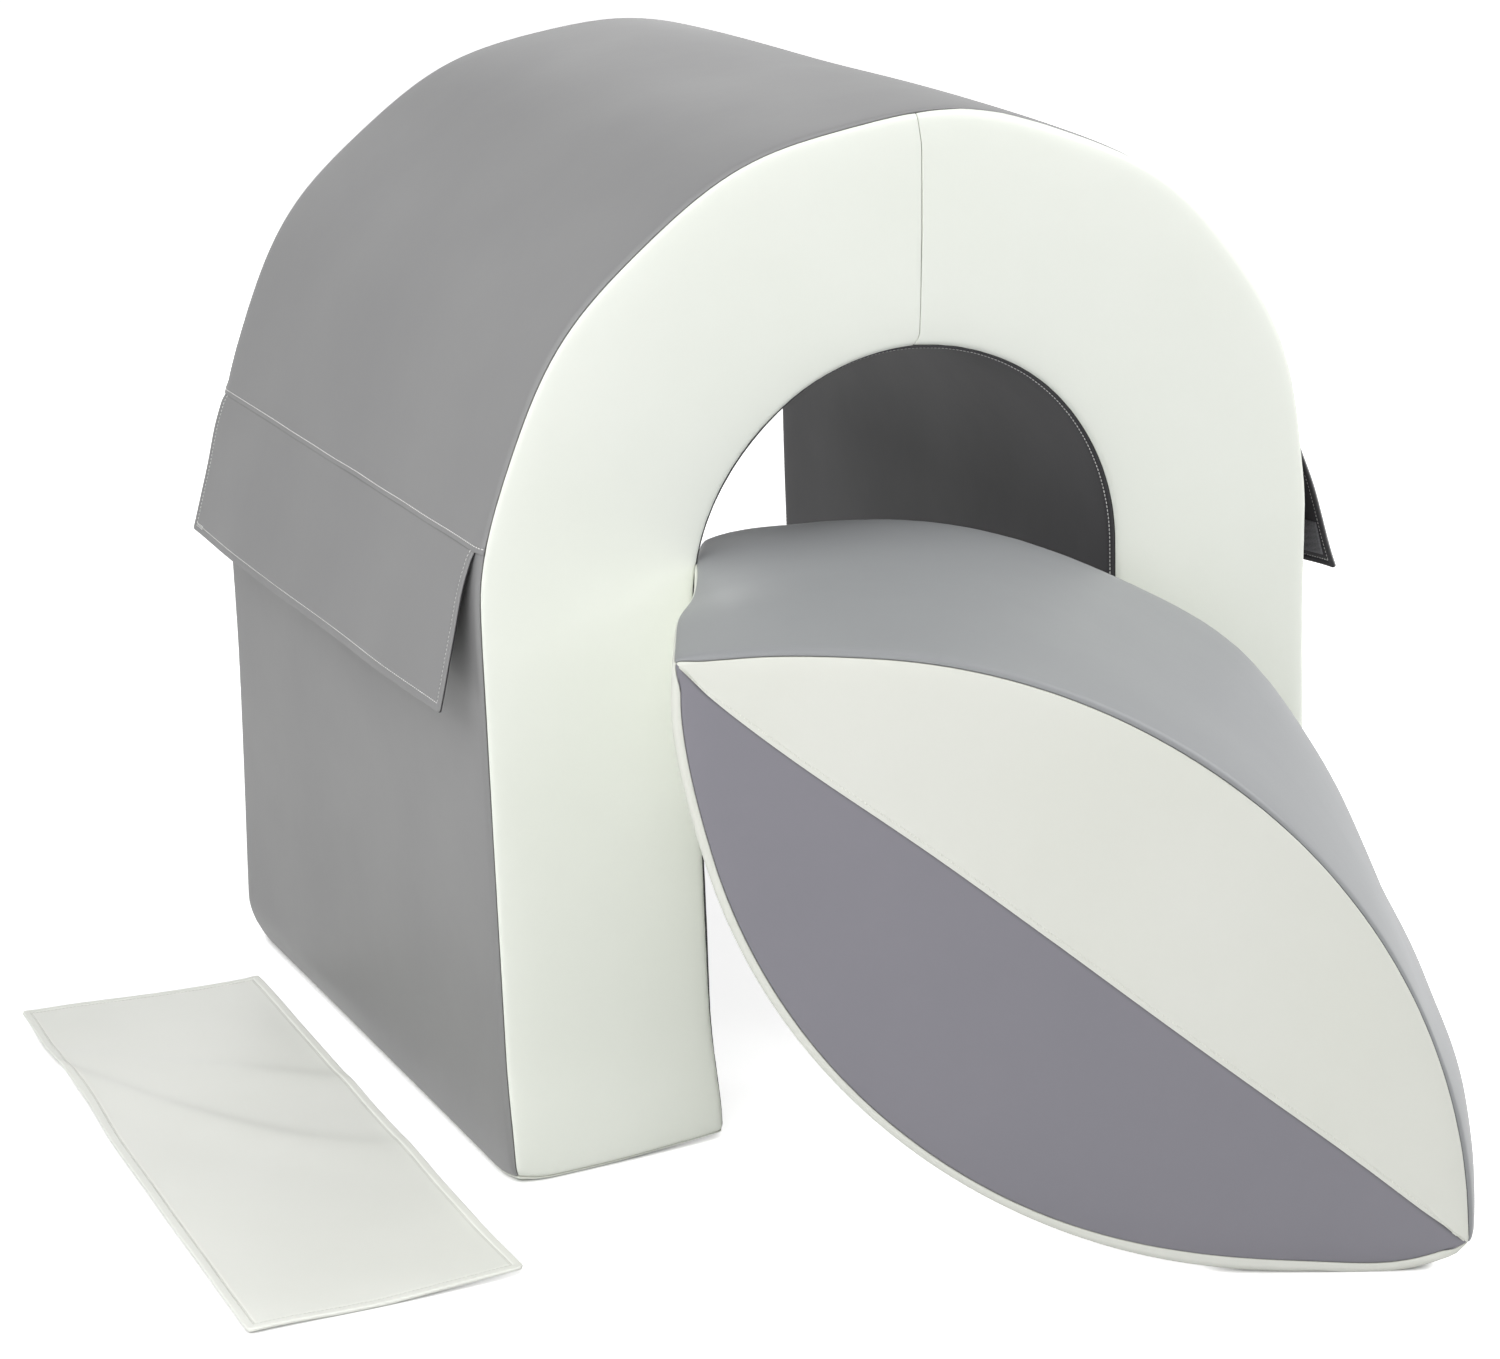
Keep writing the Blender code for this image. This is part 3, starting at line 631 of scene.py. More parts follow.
def build_top_cover(finish, thread):
    """The panel over the arch: rows from hem to hem over the top, columns from the back seam to
    the front seam. Each hem is folded, stitched, and raised over the flap under it."""
    edge = face_edge(0)
    across, tuck = sewn_across(edge)
    length = OUTER_RADIUS * (math.pi - 2 * FLAP_SEAM) + 2 * LIP_PAST
    rows = spaced(length, STEP, BY_HEM, BY_HEM)[:, None]
    waver = HEM_WAVER * ripple(across, 0 * across, 31, 0.09, 0.3)
    to_hem = np.minimum(rows, length - rows)
    shift = np.where(rows < length / 2, 1, -1) * waver * np.exp(-to_hem / (20 * MM))
    t = FLAP_SEAM + (rows - LIP_PAST + shift) / OUTER_RADIUS
    by_seam = edge - GAP / 2 - np.abs(across)
    points, outward = wall_surface(0, across + np.sign(across) * by_outer_seam(by_seam, t), t)

    over_flap = smooth((FLAP_HALF_LENGTH + 2 * MM - np.abs(across)) / (4 * MM))
    rise = BARE_LIP_RISE + (LIP_RISE - BARE_LIP_RISE) * over_flap
    lip = rise * (1 - smooth((to_hem - 4 * MM) / (10 * MM)))
    groove = HEM_GROOVE * bump(to_hem - HEM_STITCH, GROOVE_WIDTH)
    swell = puffed(TOP_PUFF, across / edge, 6, to_hem, 30 * MM)
    swell = swell + COVER_WAVE * ripple(rows, across, 32, 0.2, 0.5) * smooth(to_hem / (40 * MM))
    swell = swell - slack(by_seam) + puckers(rows, by_seam, 33)
    pulls = HEM_PULL * ripple(across, 0 * across, 34, 6 * MM, 16 * MM)
    swell = swell + pulls * bump(to_hem - HEM_STITCH, 4 * MM)
    sunk = roll(by_seam) + tuck
    points = points + outward * (lip - groove + swell - sunk - roll(to_hem, HEM_ROLL))[..., None]
    points = settle(points) + TUNNEL
    thickness = SKIN + (LIP_THICKNESS - SKIN) * (1 - smooth((to_hem - 9 * MM) / (2 * MM)))
    normals = add_cover("top_cover", "top_panel", finish, "tunnel", points,
                        outward, sunk / ROLL, thickness)
    open_cloth = slice(len(TUCKS) + 3, -len(TUCKS) - 3)
    rows_at = [nearest(rows[:, 0], at) for at in (HEM_STITCH, length - HEM_STITCH)]
    paths = [(points[i, open_cloth], normals[i, open_cloth]) for i in rows_at]
    add_stitches("top_hem_stitches", paths, thread, "tunnel")


def build_side_cover(side, finish):
    """The panel under a flap: rows from the seam round the foot to just under the hem, columns
    from the back seam to the front seam."""
    seed = 40 + side
    edge = face_edge(0)
    across, tuck_across = sewn_across(edge)
    length = SPRING_HEIGHT + (OUTER_RADIUS * FLAP_SEAM + UNDER_LIP)
    rows, tuck_rows = tucked(spaced(length, STEP, BY_SEAM, BY_SEAM[::2]), high=False)
    rows = rows[:, None]
    over = (rows - SPRING_HEIGHT) / OUTER_RADIUS
    by_side = edge - GAP / 2 - np.abs(across)
    angle = 0.0 if side == LEFT else math.pi
    wide = across + np.sign(across) * by_outer_seam(by_side, angle)
    t = np.where(rows < SPRING_HEIGHT, foot_t(0, wide, rows, LEFT), np.maximum(over, 0))
    points, outward = wall_surface(0, wide, t)

    to_top = length - rows
    swell = puffed(SIDE_PUFF, across / edge, 6, rows, 30 * MM)
    swell = swell * smooth((to_top - 6 * MM) / (70 * MM))
    open_part = smooth(to_top / (60 * MM))
    swell = swell + COVER_WAVE * ripple(rows, across, seed, 0.18, 0.5) * open_part
    swell = swell - slack(by_side) - slack(rows)
    swell = swell + puckers(rows, by_side, seed) + puckers(across, rows, seed + 5)
    sunk = roll(by_side) + roll(rows) + tuck_across + tuck_rows[:, None]
    points = points + outward * (swell - sunk)[..., None]
    turn_to(side, points, outward)
    add_cover("side_cover_" + WORDS[side], "side_panel_" + WORDS[side], finish,
              "tunnel", settle(points) + TUNNEL, outward, sunk / ROLL)


def build_lining(finish, thread):
    """The lining of the opening: rows from the left foot over the crown to the right foot,
    columns from the front seam to the back seam. A row of stitches follows each rim."""
    edge = face_edge(180)
    across, tuck_across = sewn_across(edge)
    arch = math.pi * INNER_RADIUS
    length = 2 * SPRING_HEIGHT + arch
    rows, tuck_rows = tucked(spaced(length, STEP))
    rows = rows[:, None]
    left = foot_t(180, across, rows, LEFT)
    right = foot_t(180, across, length - rows, RIGHT)
    over = np.clip((rows - SPRING_HEIGHT) / INNER_RADIUS, 0, math.pi)
    t = np.where(rows < SPRING_HEIGHT, left, over)
    t = np.where(rows > SPRING_HEIGHT + arch, right, t)
    points, outward = wall_surface(180, across, t)

    by_side = edge - GAP / 2 - np.abs(across)
    by_foot = np.minimum(rows, length - rows)
    swell = puffed(LINING_PUFF, across / edge, 6, by_foot, 30 * MM)
    swell = swell + COVER_WAVE * ripple(rows, across, 51, 0.15, 0.4)
    swell = swell - slack(by_side) - slack(by_foot)
    swell = swell + puckers(rows, by_side, 52) - LINING_GROOVE * bump(by_side - LINING_STITCH, MM)
    sunk = roll(by_side) + roll(by_foot) + tuck_across + tuck_rows[:, None]
    points = settle(points + outward * (swell - sunk)[..., None]) + TUNNEL
    normals = add_cover("opening_lining", "inner_lining", finish, "tunnel",
                        points, outward, sunk / ROLL)
    open_cloth = slice(len(TUCKS) + 6, -len(TUCKS) - 6)
    flat = by_side[0]
    middle = len(flat) // 2
    ends = [nearest(flat[:middle], LINING_STITCH), middle + nearest(flat[middle:], LINING_STITCH)]
    paths = [(points[open_cloth, i], normals[open_cloth, i]) for i in ends]
    add_stitches("opening_stitches", paths, thread, "tunnel")


def foot_outline(inner):
    """Half of a foot's outline from the middle of the front to the middle of the back, as one
    row of the values of face_section and of the rounding under it."""
    edge, long_edge = face_edge(90), face_edge(0)
    near = spaced(edge, END_STEP, np.array([0.0, END_STEP]), BY_SEAM[::2])
    far = spaced(2 * long_edge, STEP, BY_SEAM[::2], BY_SEAM[::2]) - long_edge
    way = 1 if inner else -1
    side_face = (180, far) if inner else (0, -far)
    parts = []
    for middle, across in ((90, way * near), side_face, (270, -way * near[::-1])):
        radius, y, normal_radius, normal_y = face_section(middle, across)
        parts.append(np.stack([radius, y, normal_radius, normal_y, foot_round(middle, across)]))
    return np.concatenate(parts, axis=1)


def build_base(side, inner, finish):
    """Half of the panel under a foot: columns round the half outline, rows from the tuck at the
    seam, round under the edge to the floor, and flat in to the zip's slot."""
    radius, y, normal_radius, normal_y, rounding = foot_outline(inner)
    way = -1 if inner else 1
    length = rounding * math.pi / 4
    from_seam, tuck = tucked(BY_FOOT_SEAM, high=False)
    bend = from_seam[:, None] / length[None, :]
    steps = np.linspace(bend[-1], np.ones_like(length), 6)[1:]
    bend = np.concatenate([bend, steps])
    from_seam = bend * length
    tuck = np.concatenate([tuck, np.zeros(len(steps))])[:, None]
    angle = math.pi / 4 * (1 + bend)
    inset = rounding * (1 - np.cos(angle))
    sunk = roll(from_seam) + tuck
    edge_radius = radius - normal_radius * (inset + sunk * np.cos(angle))
    edge_y = y - normal_y * (inset + sunk * np.cos(angle))
    edge_z = rounding * (1 - np.sin(angle)) + sunk * np.sin(angle)

    share = np.concatenate([np.linspace(0, 0.94, 9)[1:], [0.97, 0.985, 1.0]])[:, None]
    slot_y = np.clip(y, 2 * FOOT_ROUND - HALF_DEPTH, HALF_DEPTH - 2 * FOOT_ROUND)
    slot = np.where(np.abs(slot_y) < FOOT_ZIP_HALF, ZIP_SLOT / 2, GAP / 2)
    flat_radius = edge_radius[-1] + (MIDDLE_RADIUS + way * slot - edge_radius[-1]) * share
    flat_y = edge_y[-1] + (slot_y - edge_y[-1]) * share
    flat_z = FOOT_FLAT_BULGE * roll(1 - share, 0.03) / 0.03 + 0 * flat_y
    points = np.stack([
        side * np.concatenate([edge_radius, flat_radius]),
        np.concatenate([edge_y, flat_y]),
        np.concatenate([edge_z, flat_z]),
    ], -1)
    level = np.concatenate([np.cos(angle), 0 * flat_y])
    down = np.concatenate([np.sin(angle), 1 + 0 * flat_y])
    outward = np.stack([side * normal_radius * level, normal_y * level, -down], -1)
    deep = np.concatenate([sunk / ROLL, 0 * flat_y])
    words = WORDS[side], "inner" if inner else "outer"
    add_cover("foot_{}_{}".format(*words), "base_{}_{}".format(*words), finish,
              "tunnel", settle(points) + TUNNEL, outward, deep)


# Foam

def add_foam(name, rings, finish, body, node):
    """A block of foam from rings of points: quads between neighbouring rings and a cap at each
    end."""
    count, size = rings.shape[:2]
    grid = np.arange(count * size).reshape(count, size)
    ahead = np.roll(grid, -1, axis=1)
    quads = np.stack([grid[:-1], ahead[:-1], ahead[1:], grid[1:]], -1).reshape(-1, 4)
    points = rings.reshape(-1, 3)
    if volume(points - points.mean(axis=0), quads) < 0:
        quads = quads[:, ::-1]
        caps = [grid[0].tolist(), grid[-1, ::-1].tolist()]
    else:
        caps = [grid[0, ::-1].tolist(), grid[-1].tolist()]
    mesh = new_mesh(name, points.tolist(), quads.tolist() + caps, finish, 40)
    block = add_object(name, mesh)
    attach(block, body)
    stand_in(block, node)


def build_tunnel_foam(finish):
    """The foam inside the wall: an arch on two legs, 6 mm inside the cover."""
    around = []
    for middle in (0, 90, 180, 270):
        edge = face_edge(middle)
        across = np.linspace(-edge, edge, 13)[:-1]
        radius, y, normal_radius, normal_y = face_section(middle, across)
        around.append(np.stack([radius - normal_radius * FOAM_INSET, y - normal_y * FOAM_INSET]))
    radius, y = np.concatenate(around, axis=1)
    angle = np.linspace(0, math.pi, 61)[:, None]
    height = SPRING_HEIGHT + radius * np.sin(angle) + FOAM_JOINT
    arch = np.stack([-radius * np.cos(angle), y + 0 * angle, height], -1)
    add_foam("arch_block", settle(arch) + TUNNEL, finish, "tunnel", "foam_arch")
    height = np.linspace(FOAM_FOOT, SPRING_HEIGHT - FOAM_JOINT, 9)[:, None]
    for side in (LEFT, RIGHT):
        leg = np.stack([side * radius + 0 * height, y + 0 * height, height + 0 * radius], -1)
        name, node = "leg_block_" + WORDS[side], "foam_leg_" + WORDS[side]
        add_foam(name, settle(leg) + TUNNEL, finish, "tunnel", node)


# Flaps

def rounded_corner(one, other, radius=FLAP_CORNER):
    """Distances from two edges that meet in a corner, moved so that the corner is a quarter
    circle: within one radius, a square's corner is mapped onto a disc's."""
    a = np.clip(1 - one / radius, 0, 1)
    b = np.clip(1 - other / radius, 0, 1)
    moved_a = a * np.sqrt(1 - b * b / 2)
    moved_b = b * np.sqrt(1 - a * a / 2)
    one = np.where(one < radius, radius * (1 - moved_a), one)
    other = np.where(other < radius, radius * (1 - moved_b), other)
    return one, other


def ply_thickness(distance, stitch, full=PLY):
    """Thickness of one ply at a distance from its free edge: a rounded edge, a soft swelling,
    a dip under the stitches and then the open cloth."""
    edge = full * 1.15
    rounded = edge - roll(distance, edge)
    swelling = PLY_SWELLING * smooth(distance / MM) * smooth((stitch - distance) / (2 * MM))
    dip = PLY_DIP * bump(distance - stitch, GROOVE_WIDTH)
    return np.maximum(rounded + swelling - dip, PLY_LEAST)


def flap_frame(side):
    """The hinge's point, and the directions in which the flap hangs and looks."""
    lean_out = FLAP_SEAM + FLAP_STANDOFF
    hinge = np.array(JOINTS["flap_{}_lift".format(WORDS[side])]["pos_m"])
    hang = np.array([side * math.sin(lean_out), 0.0, -math.cos(lean_out)])
    look = np.array([side * math.cos(lean_out), 0.0, math.sin(lean_out)])
    return hinge, hang, look


def by_front_end(side, y):
    """1 at a flap's front end, and 0 further from it than the reach of that end."""
    return smooth(1 - (y + FLAP_HALF_LENGTH) / FLAP_END_REACH[side])


def flap_middle(side, y, drop, seed):
    """Distance of a flap's middle surface from its plane: pressed in under the hem, bowed and
    slightly wavy below it, and nearer to the wall by the amounts for the whole flap and for its
    front end, half of which the left flap has at its back end too."""
    pressed = np.where(
        drop < 0,
        -MM - drop * math.tan(FLAP_STANDOFF),
        -MM * (1 - smooth(drop / (10 * MM))),
    )
    share = np.clip(drop / FLAP_DROP, 0, 1)
    bow = FLAP_BOW * 4 * share * (1 - share)
    wave = FLAP_WAVE * ripple(y, 0.4 * drop, seed, 0.2, 0.6) * smooth(drop / (90 * MM))
    ends = by_front_end(side, y) + 0.5 * (side == LEFT) * by_front_end(side, -y)
    nearer = FLAP_NEARER[side] + FLAP_END_NEARER[side] * ends
    return pressed + bow + wave - nearer * smooth(drop / FLAP_DROP) * share


def hung(side, y, drop):
    """Distances down a flap, drawn out where it hangs lower than its cut."""
    longer = FLAP_END_LONGER[side] * by_front_end(side, y) + FLAP_LOWER[side]
    return drop + longer * smooth(drop / FLAP_DROP)


def flap_surface(side, y, drop, offset):
    """Points of a flap from distances along it, down it and out of its plane, settled with the
    wall that it hangs on."""
    hinge, hang, look = flap_frame(side)
    place = hinge + drop[..., None] * hang + offset[..., None] * look
    place[..., 1] = TUNNEL[1] + y
    return settle(place - TUNNEL) + TUNNEL


def build_hook_strip(side, rows, seed, finish):
    """The hook strip on a flap's inside, above its hem. Returns the strip and its length."""
    low, high = FLAP_DROP - HOOK_MARGIN - HOOK_WIDTH, FLAP_DROP - HOOK_MARGIN
    strip = np.concatenate([[low], rows[(rows > low) & (rows < high)], [high]])
    half = FLAP_HALF_LENGTH - HOOK_MARGIN
    y = spaced(2 * half, END_STEP, BY_FREE_EDGE[:6], BY_FREE_EDGE[:6]) - half
    drop, y = np.meshgrid(strip, y, indexing="ij")
    by_edge = np.minimum(half - np.abs(y), np.minimum(drop - low, high - drop))
    drop = hung(side, y, drop)
    under = -PLY - HOOK_CLEAR + flap_middle(side, y, drop, seed)
    face = flap_surface(side, y, drop, under - HOOK_THICKNESS + roll(by_edge, HOOK_ROLL))
    back = flap_surface(side, y, drop, under)
    word = WORDS[side]
    made = add_sheet("flap_{}_hook_tape".format(word), face, back, finish, "flap_" + word)
    stand_in(made, "flap_{}_hook_strip".format(word))
    return made, 2 * half


def build_flap(side, finishes):
    """Two plies, sewn together near their edges, and a hook strip on the inside. Rows run down
    from under the hem to the free edge, columns from the front end to the back end."""
    word = WORDS[side]
    seed = 60 + side
    hinge, hang, look = flap_frame(side)
    close = np.arange(-UNDER_LIP, FLAP_CLOSE_ROWS, MM)
    wide = spaced(FLAP_DROP - FLAP_CLOSE_ROWS, FLAP_STEP, np.array([0.0, 4 * MM]), BY_FREE_EDGE)
    rows = np.concatenate([close, wide + FLAP_CLOSE_ROWS])
    columns = spaced(2 * FLAP_HALF_LENGTH, END_STEP, BY_FREE_EDGE, BY_FREE_EDGE)
    columns = columns - FLAP_HALF_LENGTH
    drop, y = np.meshgrid(rows, columns, indexing="ij")
    to_end = FLAP_HALF_LENGTH - np.abs(y)
    to_hem = FLAP_DROP - drop
    edge = np.minimum(to_end, to_hem)
    to_end, to_hem = rounded_corner(to_end, to_hem)
    y = np.sign(y) * (FLAP_HALF_LENGTH - to_end)
    drop = hung(side, y, FLAP_DROP - to_hem)
    drop = drop + HEM_WAVE * ripple(y, 0 * y, seed + 3, 0.12, 0.4) * smooth(drop / FLAP_DROP)
    y = y + END_EDGE_WAVE * ripple(drop, 0 * y, seed + 4, 0.07, 0.2) * smooth(drop / (40 * MM))
    y = y + FLAP_TOP_SHORTER[side] * by_front_end(side, y) * np.clip(1 - drop / FLAP_DROP, 0, 1)
    middle = flap_middle(side, y, drop, seed)
    under_lip = 0.5 + 0.5 * smooth((drop + MM) / (6 * MM))
    pulls = PLY_PULL * ripple(y, drop, seed + 6, 5 * MM, 14 * MM)
    thickness = ply_thickness(edge, FLAP_STITCH) * under_lip
    thickness = thickness + pulls * bump(edge - FLAP_STITCH, 4 * MM) * under_lip
    # Painted shade: a faint dark line along the stitches, and a dark line just under the top
    # panel's lapping hem, where its shadow falls.
    fold = 0.15 * bump(edge - FLAP_STITCH, 0.5 * MM) + 0.8 * bump(drop - 0.6 * MM, 1.3 * MM)

    ends = nearest_pair(columns, FLAP_HALF_LENGTH - FLAP_STITCH)
    low, top = nearest(rows, FLAP_DROP - FLAP_STITCH), nearest(rows, MM)
    tack = slice(ends[1] - 7, ends[1] + 1)
    out = np.broadcast_to(look, drop.shape + (3,))
    plies, paths, tacks = [], [], []
    # The backing ply takes the lining's darker grey, which is painted shade on the flap's inner
    # side.
    for name, way, finish in (("outer", 1, "grey"), ("backing", -1, "lining")):
        face = flap_surface(side, y, drop, middle + way * thickness)
        back = flap_surface(side, y, drop, middle + way * PLY_GAP)
        node = "flap_{}_{}".format(word, name)
        ply = add_sheet(node + "_ply", face, back, finishes[finish], None, fold)
        stand_in(ply, node)
        plies.append(ply)
        normals = grid_normals(face, way * out)
        for i in ends:
            paths.append((face[top:low + 1, i], normals[top:low + 1, i]))
        paths.append((face[low, ends[0]:ends[1] + 1], normals[low, ends[0]:ends[1] + 1]))
        if name == "outer":
            tacks = [(face[i, tack], normals[i, tack]) for i in (low - 2, low + 2)]
    hook, hook_length = build_hook_strip(side, rows, seed, finishes["hook"])
    name = "flap_{}_stitches".format(word)
    stitches = add_stitches(name, paths + tacks, finishes["thread"], None)

    for piece in plies + [stitches]:
        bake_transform(piece)


# The rocker

ROCKER_ORIGIN = np.array(JOINTS["rocker_rock"]["pos_m"])
ROCKER_Y = unit(np.array(JOINTS["rocker_rock"]["axis"], float))
ROCKER_X = -unit(np.array(JOINTS["rocker_zip_run"]["axis"], float))
ROCKER_Z = np.cross(ROCKER_X, ROCKER_Y)


def rocker_place(points):
    """Points of the rocker's own frame, which is on the belly arc's centre at mid-depth, with X
    along the chord down to the right tip, in the frame of the set."""
    return (ROCKER_ORIGIN + points[..., 0:1] * ROCKER_X + points[..., 1:2] * ROCKER_Y
            + points[..., 2:3] * ROCKER_Z)


def lens_sizes():
    """Radii of the two long arcs, distance between their centres, and the tips' centre."""
    half = ROCKER_LENGTH / 2
    upper = (half**2 + ROCKER_RISE**2) / (2 * ROCKER_RISE)
    belly = (half**2 + ROCKER_BELLY**2) / (2 * ROCKER_BELLY)
    apart = belly + upper - ROCKER_BELLY - ROCKER_RISE
    a, b = upper - ROCKER_TIP, belly - ROCKER_TIP
    height = (a * a - b * b + apart * apart) / (2 * apart)
    return upper, belly, apart, math.sqrt(a * a - height * height), height - apart


UPPER_ARC, BELLY_ARC, ARCS_APART, TIP_X, SEAM_Z = lens_sizes()


def lens_length(below):
    """Lengths of one tip arc and of the long arc of the upper or the lower half's outline."""
    radius, centre = (BELLY_ARC, 0.0) if below else (UPPER_ARC, -ARCS_APART)
    start = abs(math.atan2(SEAM_Z - centre, TIP_X))
    return start * ROCKER_TIP, (math.pi - 2 * start) * radius, start


def lens_rim(along, below, inset):
    """x and z of the lens's outline, moved inwards by inset, at distances along it from the
    left tip, and the same two parts of the outward direction. The outline is a tip arc, a long
    arc and a tip arc that touch one another."""
    tip, arc, start = lens_length(below)
    long_radius, centre_z = (BELLY_ARC, 0.0) if below else (UPPER_ARC, -ARCS_APART)
    first, last = along < tip, along > tip + arc
    angle = math.pi - start - (along - tip) / long_radius
    angle = np.where(first, math.pi - along / ROCKER_TIP, angle)
    angle = np.where(last, start - (along - tip - arc) / ROCKER_TIP, angle)
    radius = np.where(first | last, ROCKER_TIP, long_radius)
    x = np.where(first, -TIP_X, np.where(last, TIP_X, 0.0))
    z = np.where(first | last, SEAM_Z, centre_z)
    way = -1 if below else 1
    out_x, out_z = np.cos(angle), way * np.sin(angle)
    return x + (radius - inset) * out_x, z + (radius - inset) * out_z, out_x, out_z


def bells(x, rows):
    """Sum of bells over x, each with its height, its place and its width."""
    return sum(height * bump(x - place, width) for height, place, width in rows)


def rocker_settle(points):
    """Moves points of the rocker's own frame by the millimetres that real foam and its cover
    differ from the plain lens. Over the upper arc the back edge sinks at the left, stands out in
    the middle and sinks again, as three bells over the share of the arc. The belly is flattened
    out by the right tip. The left end stands out at its front and by two bells over its depth,
    it is rounded off at the back, and the front's seam sags at the left and rises a little
    further right."""
    x, y, z = points[..., 0], points[..., 1], points[..., 2]
    back = np.clip((y / ROCKER_HALF_DEPTH + 1) / 2, 0, 1) ** 2
    front = smooth(-y / ROCKER_HALF_DEPTH)
    from_left = x + TIP_X + ROCKER_TIP

    over = z + ARCS_APART
    radius = np.maximum(np.hypot(x, over), TINY)
    half_angle = math.degrees(lens_length(False)[1] / UPPER_ARC / 2)
    share = 0.5 - (np.degrees(np.arctan2(over, x)) - 90) / half_angle / 2
    rim = np.sqrt(np.maximum(UPPER_ARC ** 2 - x * x, 0)) - ARCS_APART - SEAM_Z
    height = np.clip((z - SEAM_Z) / np.maximum(rim, 2 * MM), 0, 1)
    out = bells(share, BACK_BELLS) * MM * back * height * smooth(rim / (70 * MM))

    low_radius = np.maximum(np.hypot(x, z), TINY)
    low_angle = np.degrees(np.arctan2(-z, x))
    depth = np.clip((low_radius - 0.75 * BELLY_ARC) / (0.25 * BELLY_ARC), 0, 1)
    flattened = BELLY_OUT * bump(low_angle - BELLY_OUT_AT, BELLY_OUT_WIDTH) * depth
    flattened = flattened * smooth((SEAM_Z - z) / (12 * MM))

    tip = TIP_OUT * smooth(1 - from_left / TIP_REACH) * front
    tip = tip + bells(y, LEFT_BELLS) * MM * smooth(1 - from_left / LEFT_BELLS_REACH)
    corner = CORNER_FORWARD * np.clip(1 - from_left / CORNER_REACH_IN, 0, 1) ** 2
    corner = corner * smooth(y / ROCKER_HALF_DEPTH)
    sag = SEAM_SAG * smooth(from_left / SAG_GROWS_OVER) * bump(from_left - SAG_AT, SAG_WIDTH)
    sag = (sag - SEAM_RISE * bump(from_left - RISE_AT, RISE_WIDTH)) * front
    sag = sag * np.exp(-np.abs(z - SEAM_Z) / SAG_FADE)
    return points + np.stack([
        out * (x / radius) + flattened * x / low_radius - tip,
        -corner,
        out * (over / radius) + flattened * z / low_radius - sag,
    ], -1)


def place_rocker_cover(points, outward):
    """Settled points of the rocker's cover and their outward directions in the frame of the set,
    with nothing under the floor."""
    points = rocker_place(rocker_settle(points))
    points[..., 2] = np.maximum(points[..., 2], 0.0)
    return points, rocker_place(outward) - ROCKER_ORIGIN


def face_lap(along, below, back):
    """How far a band laps over the rounded edge onto the front, at distances along the outline:
    nothing at the tips, and between them the lower band some millimetres past the rounding, most
    where it meets the floor, and the upper one part of the way round it."""
    if back:
        return 0.0 * along
    tip, arc, _ = lens_length(below)
    share = along / (2 * tip + arc)
    by_tip = np.minimum(along, 2 * tip + arc - along)
    lap = ROCKER_EDGE * math.pi / 4 + BAND_LAP + BAND_LAP_LOW * bump(share - 0.78, 0.13)
    if not below:
        lap = UPPER_LAP * (1 - 0.7 * smooth((share - 0.4) / 0.3))
    return lap * smooth(by_tip / LAP_FADE)


def build_rocker_band(below, finish):
    """The long band over one arc: rows from tip to tip, columns from the front seam to the back
    seam. The upper band is crowned, and the belly stays a true arc that rests on the floor."""
    edge = ROCKER_HALF_DEPTH - ROCKER_EDGE + ROCKER_EDGE * math.pi / 4
    across, tuck_across = sewn_across(edge)
    tip, arc, _ = lens_length(below)
    length = 2 * tip + arc
    rows, tuck_rows = tucked(spaced(length - GAP, ROCKER_STEP))
    rows = rows[:, None] + GAP / 2
    flat = ROCKER_HALF_DEPTH - ROCKER_EDGE
    lapped = across - face_lap(rows, below, False) * smooth((40 * MM - across - edge) / (28 * MM))
    past = np.maximum(np.abs(lapped) - flat, 0)
    bend = np.sign(lapped) * np.minimum(past / ROCKER_EDGE, math.pi / 2)
    y = np.clip(lapped, -flat, flat) + ROCKER_EDGE * np.sin(bend)
    onto = np.maximum(past - ROCKER_EDGE * math.pi / 2, 0)
    x, z, out_x, out_z = lens_rim(rows, below, ROCKER_EDGE * (1 - np.cos(bend)) + onto)
    points = np.stack([x, y, z], -1)
    outward = np.stack([out_x * np.cos(bend), np.sin(bend) + 0 * rows, out_z * np.cos(bend)], -1)

    by_side = edge - GAP / 2 - np.abs(across)
    by_tip = np.minimum(rows, length - rows) - GAP / 2
    seed, pucker = (81, 0.4) if below else (80, 1.3)
    swell = -slack(by_side) - 0.4 * slack(by_tip)
    if not below:
        width = across / edge
        swell = swell + BAND_PUFF * (1 - np.abs(width) ** 3) * smooth(by_tip / (60 * MM))
        swell = swell + COVER_WAVE * ripple(rows, across, seed, 0.15, 0.4)
        low_end = smooth((rows / length - 0.78) / 0.12) * smooth(by_tip / (8 * MM))
        swell = swell + LOW_END_PUFF * (1 - np.abs(width) ** 4) * low_end
    swell = swell + puckers(rows, by_side, seed) * pucker
    sunk = roll(by_side) + roll(by_tip) + tuck_across + tuck_rows[:, None]
    points, outward = place_rocker_cover(points + outward * (swell - sunk)[..., None], outward)
    word, slot = ("lower", "cream_cover") if below else ("upper", "grey_cover")
    name, node = "rocker_{}_cover".format(word), "rocker_{}_band".format(word)
    add_cover(name, node, finish, "rocker", points, outward, sunk / ROLL)


def face_rise(rows, height, tallest):
    """Height over the long seam for rows of one set of distances, at columns of different
    heights. Near the tips the rows are pressed together in proportion, and further in those by
    the seam and by the rim keep more of their distance from it, by a pull that fades out."""
    share = height / tallest
    wide = smooth((share - 0.1) / 0.2)

    def pull(distance):
        fade = np.exp(-np.maximum(distance, 0) / (0.25 * height))
        return distance * (1 - share) * (1 - distance / tallest) * fade

    kept = pull(rows) - pull(np.maximum(tallest - rows, 0))
    rise = np.where(rows > 0, rows * share + wide * kept, rows * wide)
    return np.minimum(rise, height)


